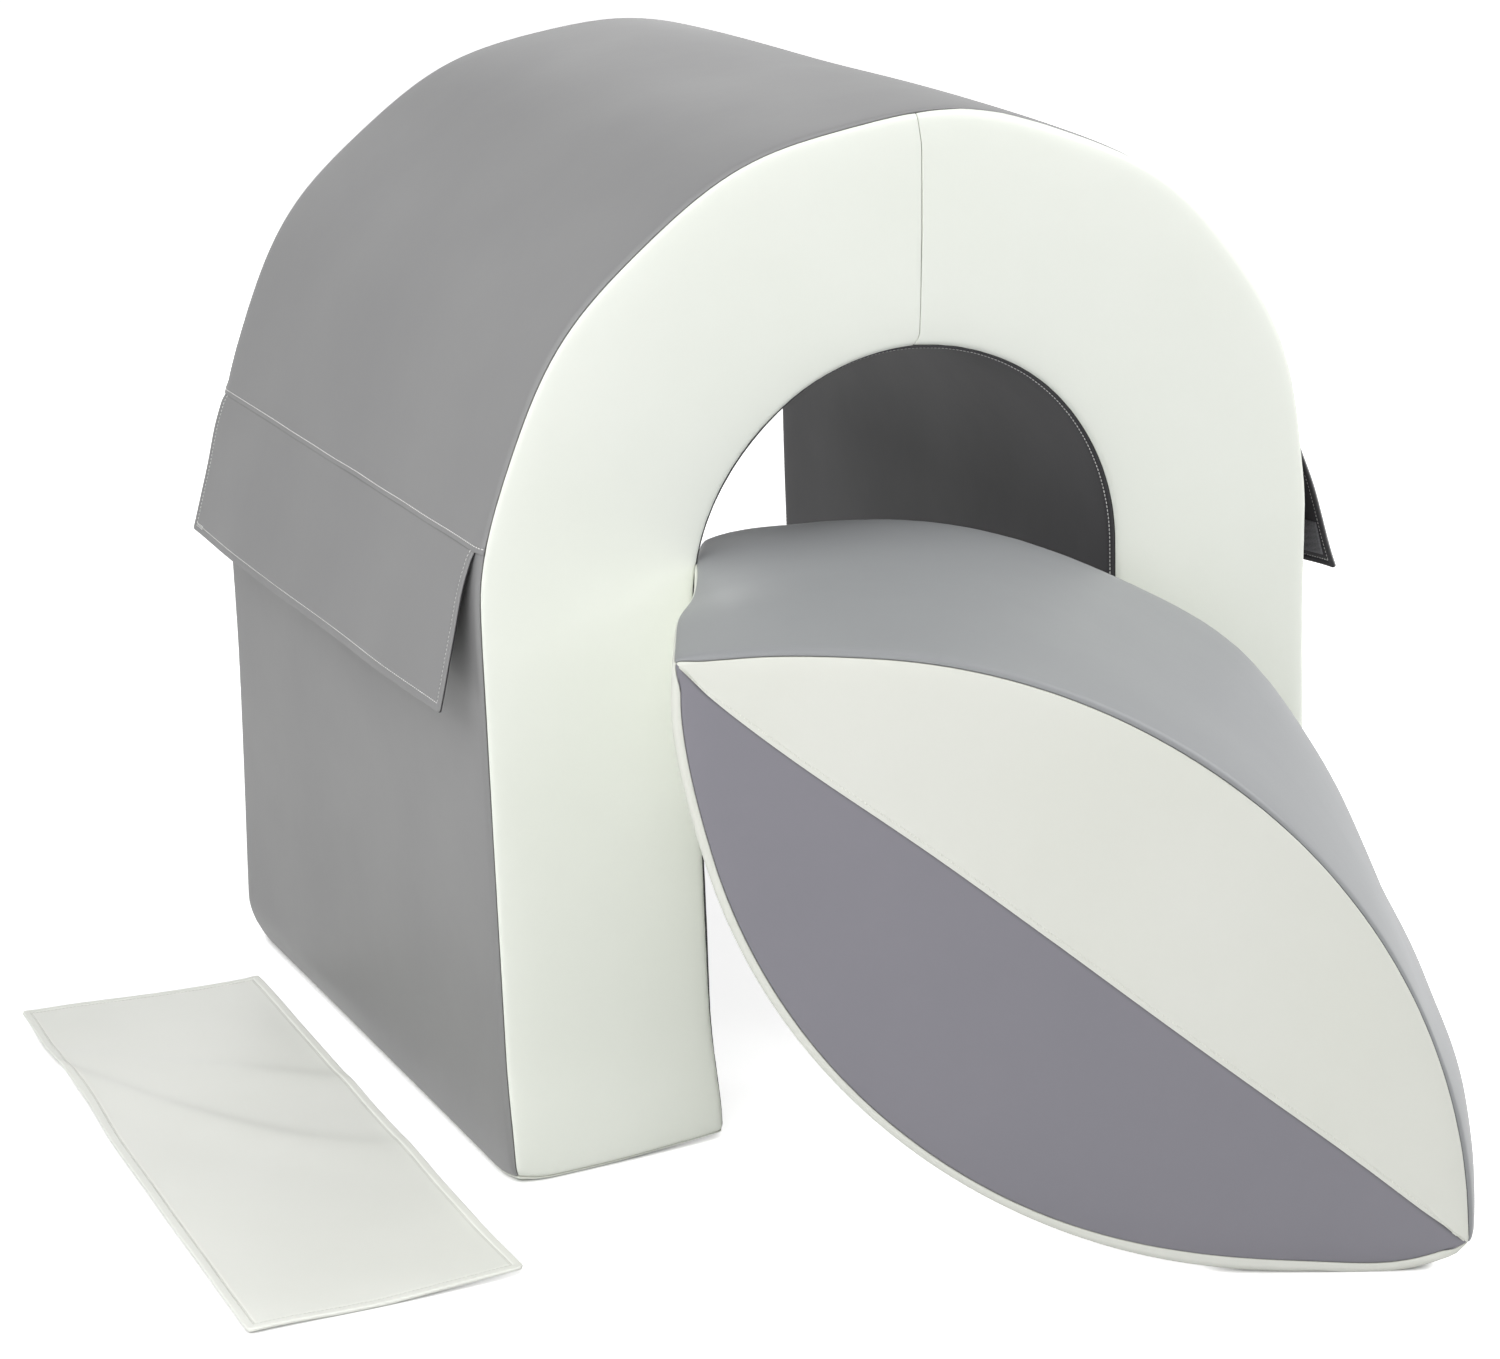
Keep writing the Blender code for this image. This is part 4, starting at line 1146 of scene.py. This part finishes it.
def build_rocker_face(below, back, finish):
    """Half of a flat side: columns from tip to tip, rows from the long seam out to the seam in
    the rounded edge. At the front the upper half laps over the lower one with a stitched hem,
    and at the back both have a hem beside the zip. Returns the hem's line for its stitches."""
    away = -1 if below else 1
    facing = 1 if back else -1
    lapped = not below or back
    tip, arc, _ = lens_length(below)
    columns = spaced(2 * tip + arc, ROCKER_STEP, BY_SEAM[::2], BY_SEAM[::2])[None, :]
    rim_x, rim_z, _, rim_out_z = lens_rim(columns, below, ROCKER_EDGE)
    by_zip = smooth((ROCKER_ZIP_HALF + 6 * MM - np.abs(rim_x)) / (12 * MM))
    slot = np.where(back, ROCKER_ZIP_SLOT * by_zip, 0)
    height = np.maximum(away * (rim_z - SEAM_Z), 0.2 * MM)
    tallest = float(height.max())
    roll_length = ROCKER_EDGE * math.pi / 4
    start = 0.0 if back else (-2 * MM if below else -SEAM_LIP)
    near = BY_HEM if lapped else BY_SEAM
    rows = spaced(tallest + roll_length - GAP / 2 - start, END_STEP, near, BY_SEAM)
    rows, tuck = tucked(rows, low=False)
    start_rows = (rows + start)[:, None]
    lap = face_lap(columns, below, back)
    past = np.maximum(lap - roll_length, 0)
    lap = lap - past + past / np.abs(rim_out_z)
    rows = start_rows - lap * smooth((start_rows - tallest + 48 * MM) / (40 * MM))
    rise = face_rise(rows, height, tallest)
    rise = rise + (slot + GAP / 2) * (1 - rise / height)
    bend = np.clip((rows - tallest) / ROCKER_EDGE, 0, None)
    on_flat = bend <= 0
    x, z, out_x, out_z = lens_rim(columns + 0 * rows, below, ROCKER_EDGE * (1 - np.sin(bend)))
    x = np.where(on_flat, rim_x, x)
    z = np.where(on_flat, SEAM_Z + away * rise, z)
    y = facing * (ROCKER_HALF_DEPTH - ROCKER_EDGE * (1 - np.cos(bend))) + 0 * x
    points = np.stack([x, y, z], -1)
    out_y = facing * np.cos(bend) + 0 * x
    outward = np.stack([out_x * np.sin(bend), out_y, out_z * np.sin(bend)], -1)

    seed = 90 + 2 * back + below
    by_edge = np.where(on_flat, height - rise, tallest - rows) + roll_length - GAP / 2 - lap
    by_edge = np.maximum(by_edge, 0)
    by_seam = np.maximum(rise - slot, 0)
    to_lip = start_rows - start + 0 * columns
    tall = smooth(height / (60 * MM))
    by_tip = smooth(height / (8 * MM))
    swell = -slack(by_edge) + puckers(columns, by_edge, seed)
    if not back:
        puff = FACE_PUFF * (1 - np.exp(-by_edge / (30 * MM)))
        swell = swell + puff * (0.45 + 0.55 * smooth(by_seam / (60 * MM))) * tall
        swell = swell + FACE_WAVE * ripple(x, z, seed, 0.12, 0.35) * tall
    if lapped:
        rise_out = ZIP_LIP_RISE if back else SEAM_LIP_RISE
        swell = swell + rise_out * (1 - smooth((to_lip - 5 * MM) / (5 * MM))) * by_tip
        swell = swell - SEAM_GROOVE * bump(to_lip - SEAM_STITCH, GROOVE_WIDTH)
        pulls = PUCKER * ripple(x, 0 * x, seed + 7, 7 * MM, 20 * MM)
        swell = swell + pulls * bump(to_lip - SEAM_STITCH, 6 * MM)
        swell = swell - roll(to_lip, SEAM_ROLL)
    else:
        swell = swell - SEAM_DIP * np.exp(-by_seam / (4 * MM))
    sunk = roll(by_edge) + tuck[:, None]
    shaded = 0 * x if lapped else 1.4 * bump(by_seam, 1.6 * MM) * by_tip
    points, outward = place_rocker_cover(points + outward * (swell - sunk)[..., None], outward)
    hem = lapped * (1 - smooth((to_lip - 9 * MM) / (2 * MM)))
    thickness = SKIN + SEAM_HEM_THICKER * hem + 0 * x
    node = "rocker_{}_{}".format("back" if back else "front", "lower" if below else "upper")
    normals = add_cover(node + "_cover", node, finish,
                        "rocker", points, outward, sunk / ROLL + shaded, thickness)
    if not lapped:
        return []
    row = nearest(start_rows[:, 0], start + SEAM_STITCH)
    long_enough = np.flatnonzero(height[0] > 9 * MM)
    kept = slice(long_enough[0], long_enough[-1] + 1)
    return [(points[row, kept], normals[row, kept])]


def build_rocker_foam(finish):
    """The foam lens: rings round the outline, one for each depth, 6 mm inside the cover."""
    rim = []
    for below in (False, True):
        tip, arc, _ = lens_length(below)
        along = spaced(2 * tip + arc, 12 * MM, BY_SEAM[::3], BY_SEAM[::3])
        x, z, _, _ = lens_rim(along, below, FOAM_INSET)
        way = slice(None, None, -1 if below else 1)
        rim.append(np.stack([x[way][:-1], z[way][:-1]]))
    x, z = np.concatenate(rim, axis=1)
    half = ROCKER_HALF_DEPTH - FOAM_INSET
    depth = np.linspace(-half, half, 7)[:, None]
    rings = np.stack([x + 0 * depth, depth + 0 * x, z + 0 * depth], -1)
    add_foam("rocker_block", rocker_place(rocker_settle(rings)), finish, "rocker", "rocker_foam")


# The connecting panel

def panel_frame():
    """The panel's middle on the floor, and its own X and Y directions."""
    low, high = (np.array(corner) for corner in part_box("panel_lower_ply"))
    yaw = math.radians(PANEL_YAW)
    right = np.array([math.cos(yaw), math.sin(yaw), 0])
    ahead = np.array([-math.sin(yaw), math.cos(yaw), 0])
    return (low + high) / 2 * [1, 1, 0], right, ahead


def ridge(distance, behind, before):
    """A soft ridge of height 1 along a line: a bell that is steep behind the line and shallow
    before it."""
    return bump(distance, np.where(distance > 0, behind, before))


def panel_lift(x, y):
    """Height of the panel's underside over the floor: two soft ridges that run from the left
    edge across the back half, a raised corner at the back left, and a front end that touches
    the floor only near its middle."""
    across = x / PANEL_WIDTH
    along = y / PANEL_LENGTH
    high = RIDGE - RIDGE_LOWER * smooth(across + 0.5)
    fold = high * ridge(along - 0.005 + 0.444 * across - 0.327 * across ** 2, 0.028, 0.080)
    fold = fold + SECOND_RIDGE * ridge(along - 0.220 + 0.277 * across, 0.026, 0.065)
    back = BACK_CORNER_LIFT * smooth((along - END_FROM) / END_OVER) * smooth(0.35 - across)
    front = smooth((-along - END_FROM) / END_OVER)
    front = front * np.interp(across, FRONT_SHARES, FRONT_LIFTS)
    waves = EDGE_LIFT + EDGE_LIFT * ripple(y, 0 * y, 101, 0.1, 0.3)
    edge = smooth((np.abs(across) - 0.42) / 0.08) * waves
    middle = UNEVEN * (1 + ripple(x, y, 102, 0.08, 0.3))
    return fold + back + front + edge + middle


def panel_shift(x, y):
    """The panel's outline against a true rectangle: shorter at the back right, longer at the
    front right, and wider at the left."""
    across = x / PANEL_WIDTH
    along = y / PANEL_LENGTH
    wider = PANEL_WIDER * (1 - bump(along - 0.2, 0.1)) * smooth(-2 * across)
    shorter = PANEL_SHORTER * smooth((along - 0.3) / 0.2) * smooth(across + 0.5)
    longer = PANEL_LONGER * smooth((-along - 0.2) / 0.3) * smooth(across + 0.7)
    return x - wider, y - shorter - longer


def build_panel(finishes):
    """Two plies sewn round the edge: rows along the panel, columns across it."""
    origin, right, ahead = panel_frame()
    rows = spaced(PANEL_LENGTH, PANEL_STEP, BY_FREE_EDGE, BY_FREE_EDGE) - PANEL_LENGTH / 2
    columns = spaced(PANEL_WIDTH, PANEL_STEP, BY_FREE_EDGE, BY_FREE_EDGE) - PANEL_WIDTH / 2
    y, x = np.meshgrid(rows, columns, indexing="ij")
    by_side = PANEL_WIDTH / 2 - np.abs(x)
    by_end = PANEL_LENGTH / 2 - np.abs(y)
    edge = np.minimum(by_side, by_end)
    by_side, by_end = rounded_corner(by_side, by_end, PANEL_CORNER)
    x = np.sign(x) * (PANEL_WIDTH / 2 - by_side)
    y = np.sign(y) * (PANEL_LENGTH / 2 - by_end)
    lift = panel_lift(x, y)
    x, y = panel_shift(x, y)
    x = x + SIDE_WAVE * ripple(y, 0 * y, 103, 0.1, 0.35) * smooth(np.abs(x) / PANEL_WIDTH)
    y = y + END_WAVE_PANEL * ripple(x, 0 * x, 104, 0.08, 0.2) * smooth(np.abs(y) / PANEL_LENGTH)
    pulls = PLY_PULL * ripple(y, x, 105, 6 * MM, 16 * MM)
    thickness = ply_thickness(edge, PANEL_STITCH, PANEL_PLY)
    thickness = thickness + pulls * bump(edge - PANEL_STITCH, 5 * MM)
    # Painted shade: a faint dark line along the stitches.
    fold = 0.25 * bump(edge - PANEL_STITCH, 0.5 * MM)
    ground = origin + x[..., None] * right + y[..., None] * ahead
    middle = lift + PANEL_MIDDLE
    up = np.broadcast_to(np.array([0.0, 0.0, 1.0]), ground.shape)
    ends = nearest_pair(rows, PANEL_LENGTH / 2 - PANEL_STITCH)
    sides = nearest_pair(columns, PANEL_WIDTH / 2 - PANEL_STITCH)
    across, along = slice(sides[0], sides[1] + 1), slice(ends[0], ends[1] + 1)
    paths = []
    for word, way in (("upper", 1), ("lower", -1)):
        face = ground + (middle + way * thickness)[..., None] * up
        back = ground + (middle + way * PLY_GAP)[..., None] * up
        name = "connecting_{}_ply".format(word)
        ply = add_sheet(name, face, back, finishes["panel"], "panel", fold)
        stand_in(ply, "panel_{}_ply".format(word))
        normals = grid_normals(face, way * up)
        paths += [(face[i, across], normals[i, across]) for i in ends]
        paths += [(face[along, i], normals[along, i]) for i in sides]
    stitches = add_stitches("connecting_stitches", paths, finishes["cream_thread"], "panel")


# Stitches

def stitch_template():
    """One stitch along X, as a fat capsule: rings of six points round three places along it,
    and a point at each end that dips into the cloth."""
    places = np.array([-0.34, 0.0, 0.34])[:, None] * STITCH_LENGTH
    size = np.array([0.8, 1.0, 0.8])[:, None]
    turn = np.arange(6)[None, :] * math.pi / 3
    ring = np.stack([
        places + 0 * turn,
        STITCH_WIDTH / 2 * size * np.cos(turn),
        STITCH_HEIGHT * (size * (0.5 + np.sin(turn)) - 0.25),
    ], -1).reshape(-1, 3)
    ends = np.array([[-0.5, 0, 0], [0.5, 0, 0]]) * STITCH_LENGTH - [0, 0, 0.3 * STITCH_HEIGHT]
    first = np.arange(6)
    ahead = np.roll(first, -1)
    quads = [np.stack([first + k, ahead + k, ahead + k + 6, first + k + 6], -1) for k in (0, 6)]
    caps = [
        np.stack([ahead, first, 18 + 0 * first, 18 + 0 * first], -1),
        np.stack([first + 12, ahead + 12, 19 + 0 * first, 19 + 0 * first], -1),
    ]
    return np.concatenate([ring, ends]), np.concatenate(quads + caps)


def placed(template, centres, along, normals):
    """Copies of a template, one at each centre, with its X along the path and its Z outwards."""
    points, faces = template
    normals = unit(normals)
    side = unit(np.cross(normals, along))
    along = np.cross(side, normals)
    axes = np.stack([along, side, normals], axis=1)
    copies = np.einsum("pk,nkd->npd", points, axes) + centres[:, None]
    shift = (np.arange(len(centres)) * len(points))[:, None, None]
    return copies.reshape(-1, 3), (faces[None] + shift).reshape(-1, faces.shape[1])


def along_path(wanted, travelled, values):
    """A path's points or normals at wanted distances along it."""
    return np.stack([np.interp(wanted, travelled, values[:, k]) for k in range(3)], -1)


def stations(path, normals, pitch):
    """Evenly spaced points, directions and normals along a path."""
    steps = np.linalg.norm(np.diff(path, axis=0), axis=1)
    travelled = np.concatenate([[0.0], np.cumsum(steps)])
    count = max(2, int(travelled[-1] / pitch))
    wanted = (np.arange(count) + 0.5) * travelled[-1] / count
    ahead = along_path(wanted + MM, travelled, path)
    behind = along_path(wanted - MM, travelled, path)
    place = along_path(wanted, travelled, path)
    return place, ahead - behind, along_path(wanted, travelled, normals)


def add_stitches(name, paths, finish, body):
    """A piece that holds a stitch every few millimetres along each path. A face's corner that
    is given twice counts once."""
    template = stitch_template()
    points, faces, count = [], [], 0
    for path, normals in paths:
        made, quads = placed(template, *stations(path, normals, STITCH_PITCH))
        points += made.tolist()
        faces += [list(dict.fromkeys(face)) for face in (quads + count).tolist()]
        count += len(made)
    stitches = add_object(name, new_mesh(name, points, faces, finish))
    if body:
        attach(stitches, body)
    return stitches


# Finishes

def linear(hex_colour):
    """sRGB hex to linear red, green, blue and alpha."""
    parts = [int(hex_colour[i:i + 2], 16) / 255 for i in (1, 3, 5)]
    parts = [c / 12.92 if c <= 0.04045 else ((c + 0.055) / 1.055) ** 2.4 for c in parts]
    return tuple(parts) + (1.0,)


def give_inputs(tree, node, inputs):
    """Gives a node's inputs their values, or the outputs of other nodes."""
    for name, value in inputs.items():
        if isinstance(value, bpy.types.NodeSocket):
            tree.links.new(value, node.inputs[name])
        else:
            node.inputs[name].default_value = value


def add_node(tree, kind, inputs=None, **settings):
    """Adds a node, with its settings and its inputs."""
    made = tree.nodes.new("ShaderNode" + kind)
    for name, value in settings.items():
        setattr(made, name, value)
    give_inputs(tree, made, inputs or {})
    return made


def new_finish(name):
    """An empty material, its node tree and shader, and the position that patterns follow."""
    made = bpy.data.materials.new(name)
    made.use_nodes = True
    tree = made.node_tree
    place = add_node(tree, "TexCoord").outputs["Object"]
    return made, tree, tree.nodes["Principled BSDF"], place


def coated_cloth(name, colour, shade, seam_shade_tone, roughness):
    """Leatherette: polyurethane coating on knitted cloth, embossed by a roller. It gives a
    satin surface with a fine pebble grain (1.5 mm cells, coarser than the real 0.8 mm so that
    they show), a knit of 1.1 mm under it, clouds of about 140 mm, and shallow wrinkles of about
    36 mm. Deep in a seam, along stitches and under a lapping hem, its colour goes towards the
    seam shade tone: painted shade."""
    made, tree, shader, place = new_finish(name)
    cloud = add_node(tree, "TexNoise", {"Vector": place, "Scale": 7.0, "Detail": 3.0})
    fold = add_node(tree, "Attribute", attribute_name="fold")
    tone = add_node(tree, "MixRGB", {
        "Fac": cloud.outputs["Fac"], "Color1": linear(colour), "Color2": linear(shade)
    })
    deep = add_node(tree, "Math", {0: fold.outputs["Fac"], 1: SEAM_SHADE_SHARE}, operation="MULTIPLY")
    base = add_node(tree, "MixRGB", {
        "Fac": deep.outputs[0], "Color1": tone.outputs[0], "Color2": linear(seam_shade_tone)
    })
    cells = add_node(tree, "TexVoronoi", {"Vector": place, "Scale": 1 / GRAIN})
    fine = add_node(tree, "TexNoise", {"Vector": place, "Scale": 900.0, "Detail": 2.0})
    wrinkle = add_node(tree, "TexNoise", {"Vector": place, "Scale": 28.0, "Detail": 4.0})
    grain = add_node(tree, "Math", {
        0: cells.outputs["Distance"], 1: fine.outputs["Fac"]
    }, operation="ADD")
    pebble = add_node(tree, "Bump", {
        "Height": grain.outputs[0], "Strength": 0.10, "Distance": 0.3 * MM
    })
    waves = add_node(tree, "Bump", {
        "Height": wrinkle.outputs["Fac"], "Strength": 0.25, "Distance": 1.2 * MM,
        "Normal": pebble.outputs["Normal"],
    })
    rough = add_node(tree, "MapRange", {
        "Value": cloud.outputs["Fac"], "To Min": roughness - 0.05, "To Max": roughness + 0.05
    })
    give_inputs(tree, shader, {
        "Base Color": base.outputs[0], "Normal": waves.outputs["Normal"],
        "Roughness": rough.outputs[0], "IOR": 1.48,
    })
    return made


def sewing_thread(name, colour):
    """Twisted polyester thread: a silky highlight broken by its twist."""
    made, tree, shader, place = new_finish(name)
    twist = add_node(tree, "TexWave", {"Vector": place, "Scale": 260.0, "Distortion": 1.5})
    tone = add_node(tree, "MixRGB", {
        "Fac": twist.outputs["Fac"], "Color1": linear(colour), "Color2": linear("#8A8A88")
    })
    dim = add_node(tree, "MixRGB", {
        "Fac": 0.75, "Color1": tone.outputs[0], "Color2": linear(colour)
    })
    height = add_node(tree, "Bump", {
        "Height": twist.outputs["Fac"], "Strength": 0.4, "Distance": 0.1 * MM
    })
    give_inputs(tree, shader, {
        "Base Color": dim.outputs[0], "Normal": height.outputs["Normal"],
        "Roughness": 0.45, "Sheen Weight": 0.2,
    })
    return made


def hook_tape(name):
    """Nylon hook tape: a dark mat of moulded hooks in rows about 1.6 mm apart, which scatters
    light. Its colour is lighter on the hooks' tops and darker between them: painted highlight
    and painted shade."""
    made, tree, shader, place = new_finish(name)
    hooks = add_node(tree, "TexVoronoi", {
        "Vector": place, "Scale": 1 / HOOK_PITCH, "Randomness": 0.35
    })
    # Painted highlight on the hooks' tops and painted shade between them.
    tone = add_node(tree, "MixRGB", {
        "Fac": hooks.outputs["Distance"], "Color1": linear("#8E8E91"), "Color2": linear("#55555A")
    })
    height = add_node(tree, "Bump", {
        "Height": hooks.outputs["Distance"], "Strength": 0.9, "Distance": 0.8 * MM
    }, invert=True)
    give_inputs(tree, shader, {
        "Base Color": tone.outputs[0], "Normal": height.outputs["Normal"], "Roughness": 0.8,
    })
    return made


def woven_tape(name, colour):
    """Zip tape: polyester in a tight plain weave, 0.7 mm threads, dull."""
    made, tree, shader, place = new_finish(name)
    weave = add_node(tree, "TexChecker", {
        "Vector": place, "Scale": 1 / TAPE_THREAD,
        "Color1": linear(colour), "Color2": linear("#4A4A4C"),
    })
    height = add_node(tree, "Bump", {
        "Height": weave.outputs["Fac"], "Strength": 0.5, "Distance": 0.2 * MM
    })
    give_inputs(tree, shader, {
        "Base Color": weave.outputs["Color"], "Normal": height.outputs["Normal"],
        "Roughness": 0.85,
    })
    return made


def nickel_plate(name):
    """Die-cast zinc plated with nickel: bright, with the soft marks of tumbling, about 1.4 mm
    apart."""
    made, tree, shader, place = new_finish(name)
    marks = add_node(tree, "TexNoise", {"Vector": place, "Scale": 700.0, "Detail": 4.0})
    rough = add_node(tree, "MapRange", {
        "Value": marks.outputs["Fac"], "To Min": 0.22, "To Max": 0.38
    })
    give_inputs(tree, shader, {
        "Base Color": linear("#C9C6BF"), "Metallic": 1.0, "Roughness": rough.outputs[0],
    })
    return made


def open_cell_foam(name):
    """Polyurethane foam: pale yellow, with open cells about 1 mm across, quite dull."""
    made, tree, shader, place = new_finish(name)
    cells = add_node(tree, "TexVoronoi", {"Vector": place, "Scale": 1 / FOAM_CELL})
    tone = add_node(tree, "MixRGB", {
        "Fac": cells.outputs["Distance"], "Color1": linear("#EFE6B8"), "Color2": linear("#C9BC86")
    })
    height = add_node(tree, "Bump", {
        "Height": cells.outputs["Distance"], "Strength": 0.7, "Distance": 0.5 * MM
    })
    give_inputs(tree, shader, {
        "Base Color": tone.outputs[0], "Normal": height.outputs["Normal"], "Roughness": 0.95,
    })
    return made


# Floor, light and camera

FLOOR_SIZE = 40.0
FLOOR_DROP = 0.3 * MM
WORLD_LIGHT = 0.04
LAMP_SIZE = 2.4
LAMPS = {
    "right": ((2.66, -0.71, 2.31), 100),
    "left_high": ((-2.54, -0.22, 2.55), 42),
    "front_high": ((-0.98, -2.1, 2.76), 33),
    "left_low": ((-2.1, -1.7, 1.1), 35),
    "right_low": ((1.47, -3.15, 0.93), 11),
    "back": ((0.3, 3.3, 0.3), 24),
}
FLOOR_GLOW = 0.83
FLOOR_WHITE_FROM, FLOOR_WHITE_AT = 2.0, 5.0
CONTACT = 6 * MM
LAMPS_LOOK_AT = np.array([0, -0.2, 0.3])
CAMERA_FROM_TUNNEL = np.array([-1.4394657, -3.0852418, 1.3946520])
CAMERA_TURN = (72.0583553, 1.9152260, -25.6014445)
IMAGE_WIDTH = 1500
FOCAL_PIXELS = 3752.149
SENSOR_WIDTH = 36.0


def seen_rays(tree):
    """1 for a ray from the camera, off a glossy surface or through glass, and 0 for the rest."""
    path = add_node(tree, "LightPath")
    glossy = add_node(tree, "Math", {
        0: path.outputs["Is Camera Ray"], 1: path.outputs["Is Glossy Ray"]
    }, operation="MAXIMUM")
    return add_node(tree, "Math", {
        0: glossy.outputs[0], 1: path.outputs["Is Transmission Ray"]
    }, operation="MAXIMUM").outputs[0]


def build_floor():
    """A plain pale floor. What the camera sees of it is lifted to white, with the shadows
    kept, apart from the narrow places where something almost touches it."""
    made, tree, shader, place = new_finish("studio_floor")
    give_inputs(tree, shader, {"Base Color": linear("#D9D9D8"), "Roughness": 0.9})
    # Painted contact shadow: the glow fades with the ambient occlusion within CONTACT, so the floor
    # darkens where something almost touches it.
    near = add_node(tree, "AmbientOcclusion", {"Distance": CONTACT}, samples=8)
    away = add_node(tree, "VectorMath", {0: place}, operation="LENGTH")
    white = add_node(tree, "MapRange", {
        "Value": away.outputs["Value"], "From Min": FLOOR_WHITE_FROM,
        "From Max": FLOOR_WHITE_AT, "To Min": FLOOR_GLOW, "To Max": 1.0,
    })
    strength = add_node(tree, "Math", {
        0: near.outputs["AO"], 1: white.outputs[0]
    }, operation="MULTIPLY")
    glow = add_node(tree, "Emission", {
        "Color": linear("#FFFFFF"), "Strength": strength.outputs[0]
    })
    lit = add_node(tree, "AddShader", {0: shader.outputs[0], 1: glow.outputs[0]})
    shown = add_node(tree, "MixShader", {
        0: seen_rays(tree), 1: shader.outputs[0], 2: lit.outputs[0]
    })
    output = next(n for n in tree.nodes if n.type == "OUTPUT_MATERIAL")
    give_inputs(tree, output, {"Surface": shown.outputs[0]})
    half = FLOOR_SIZE / 2
    corners = [(-half, -half), (half, -half), (half, half), (-half, half)]
    mesh = bpy.data.meshes.new("floor")
    mesh.from_pydata([(x, y, -FLOOR_DROP) for x, y in corners], [], [(0, 1, 2, 3)])
    mesh.materials.append(made)
    add_object("floor", mesh)


def build_world():
    """A white background for what is seen, and a weak even light for the rest."""
    world = bpy.data.worlds.new("studio")
    bpy.context.scene.world = world
    world.use_nodes = True
    tree = world.node_tree
    background = next(n for n in tree.nodes if n.type == "BACKGROUND")
    strength = add_node(tree, "MapRange", {
        "Value": seen_rays(tree), "To Min": WORLD_LIGHT, "To Max": 1.0
    })
    give_inputs(tree, background, {
        "Color": linear("#FFFFFF"), "Strength": strength.outputs[0]
    })


def add_area_light(name, place, target, power):
    """A square soft box that looks at a target."""
    lamp = bpy.data.lights.new(name, "AREA")
    lamp.shape = "SQUARE"
    lamp.size = LAMP_SIZE
    lamp.energy = power
    box = add_object(name, lamp)
    box.location = place
    box.rotation_euler = (target - place).to_track_quat("-Z", "Y").to_euler()


def build_camera():
    """The camera that took the photograph, with its place measured from the tunnel."""
    data = bpy.data.cameras.new("photograph")
    data.sensor_fit = "HORIZONTAL"
    data.sensor_width = SENSOR_WIDTH
    data.lens = FOCAL_PIXELS * SENSOR_WIDTH / IMAGE_WIDTH
    data.clip_end = 100.0
    camera = add_object("photograph", data)
    camera.location = TUNNEL + CAMERA_FROM_TUNNEL
    camera.rotation_euler = Euler([math.radians(angle) for angle in CAMERA_TURN], "XYZ")
    bpy.context.scene.camera = camera


def main():
    """Makes the finishes, the pieces of the set, the floor, the light and the camera."""
    finishes = {
        "grey": coated_cloth("leatherette_grey", "#8A8A8A", "#858586", SEAM_SHADE_GREY, 0.50),
        # The lining and the flaps' backing are a much darker copy of the grey: painted shade inside
        # the tunnel and under the flaps.
        "lining": coated_cloth("leatherette_grey_painted_shade", "#3A393C", "#363538", SEAM_SHADE_GREY, 0.60),
        "rocker_grey": coated_cloth("leatherette_blue_grey", "#807E86", "#7B7A82", SEAM_SHADE_GREY, 0.48),
        # The rocker's top band is a lighter copy of its grey: painted light on the upward-facing
        # band.
        "rocker_top": coated_cloth("leatherette_grey_painted_light", "#8F9193", "#8A8C8E", SEAM_SHADE_GREY, 0.48),
        # The panel is a whiter copy of the cream: painted light on the panel on the floor.
        "panel": coated_cloth("leatherette_cream_painted_light", "#FBFCF6", "#F6F8F0", SEAM_SHADE_CREAM, 0.50),
        "cream": coated_cloth("leatherette_cream", "#F2F5EE", "#ECF0E7", SEAM_SHADE_CREAM, 0.50),
        # The rocker's cream is a darker copy of the tunnel's cream: painted shade.
        "rocker_cream": coated_cloth(
            "leatherette_cream_painted_shade", "#DFE0DA", "#DADCD3", SEAM_SHADE_CREAM, 0.50
        ),
        "thread": sewing_thread("thread_grey", "#ECECEA"),
        "cream_thread": sewing_thread("thread_cream", "#E9EAE2"),
        "hook": hook_tape("hook_tape"),
        "tape": woven_tape("zip_tape_weave", "#38383A"),
        "nickel": nickel_plate("nickel_plate"),
        "foam": open_cell_foam("open_cell_foam"),
    }
    for side in (LEFT, RIGHT):
        for front in (True, False):
            build_end_panel(side, front, finishes["cream"])
        build_side_cover(side, finishes["grey"])
        for inner in (False, True):
            build_base(side, inner, finishes["cream"])
    build_top_cover(finishes["grey"], finishes["thread"])
    build_lining(finishes["lining"], finishes["thread"])
    build_tunnel_foam(finishes["foam"])
    for side in (LEFT, RIGHT):
        build_flap(side, finishes)
    build_rocker_band(False, finishes["rocker_top"])
    build_rocker_band(True, finishes["rocker_cream"])
    paths = []
    for back in (False, True):
        paths += build_rocker_face(False, back, finishes["rocker_cream"])
        paths += build_rocker_face(True, back, finishes["rocker_grey"])
    add_stitches("rocker_stitches", paths, finishes["cream_thread"], "rocker")
    build_rocker_foam(finishes["foam"])
    build_panel(finishes)
    for node in frame["nodes"].values():
        if not node.hide_render:
            metal = node.name.endswith("slider")
            node.data.materials.clear()
            node.data.materials.append(finishes["nickel" if metal else "tape"])

    build_floor()
    build_world()
    middle = Vector(TUNNEL + LAMPS_LOOK_AT)
    for name, (place, power) in LAMPS.items():
        add_area_light(name, middle + Vector(place), middle, power)
    build_camera()
    bpy.context.scene.view_settings.view_transform = "Standard"


main()
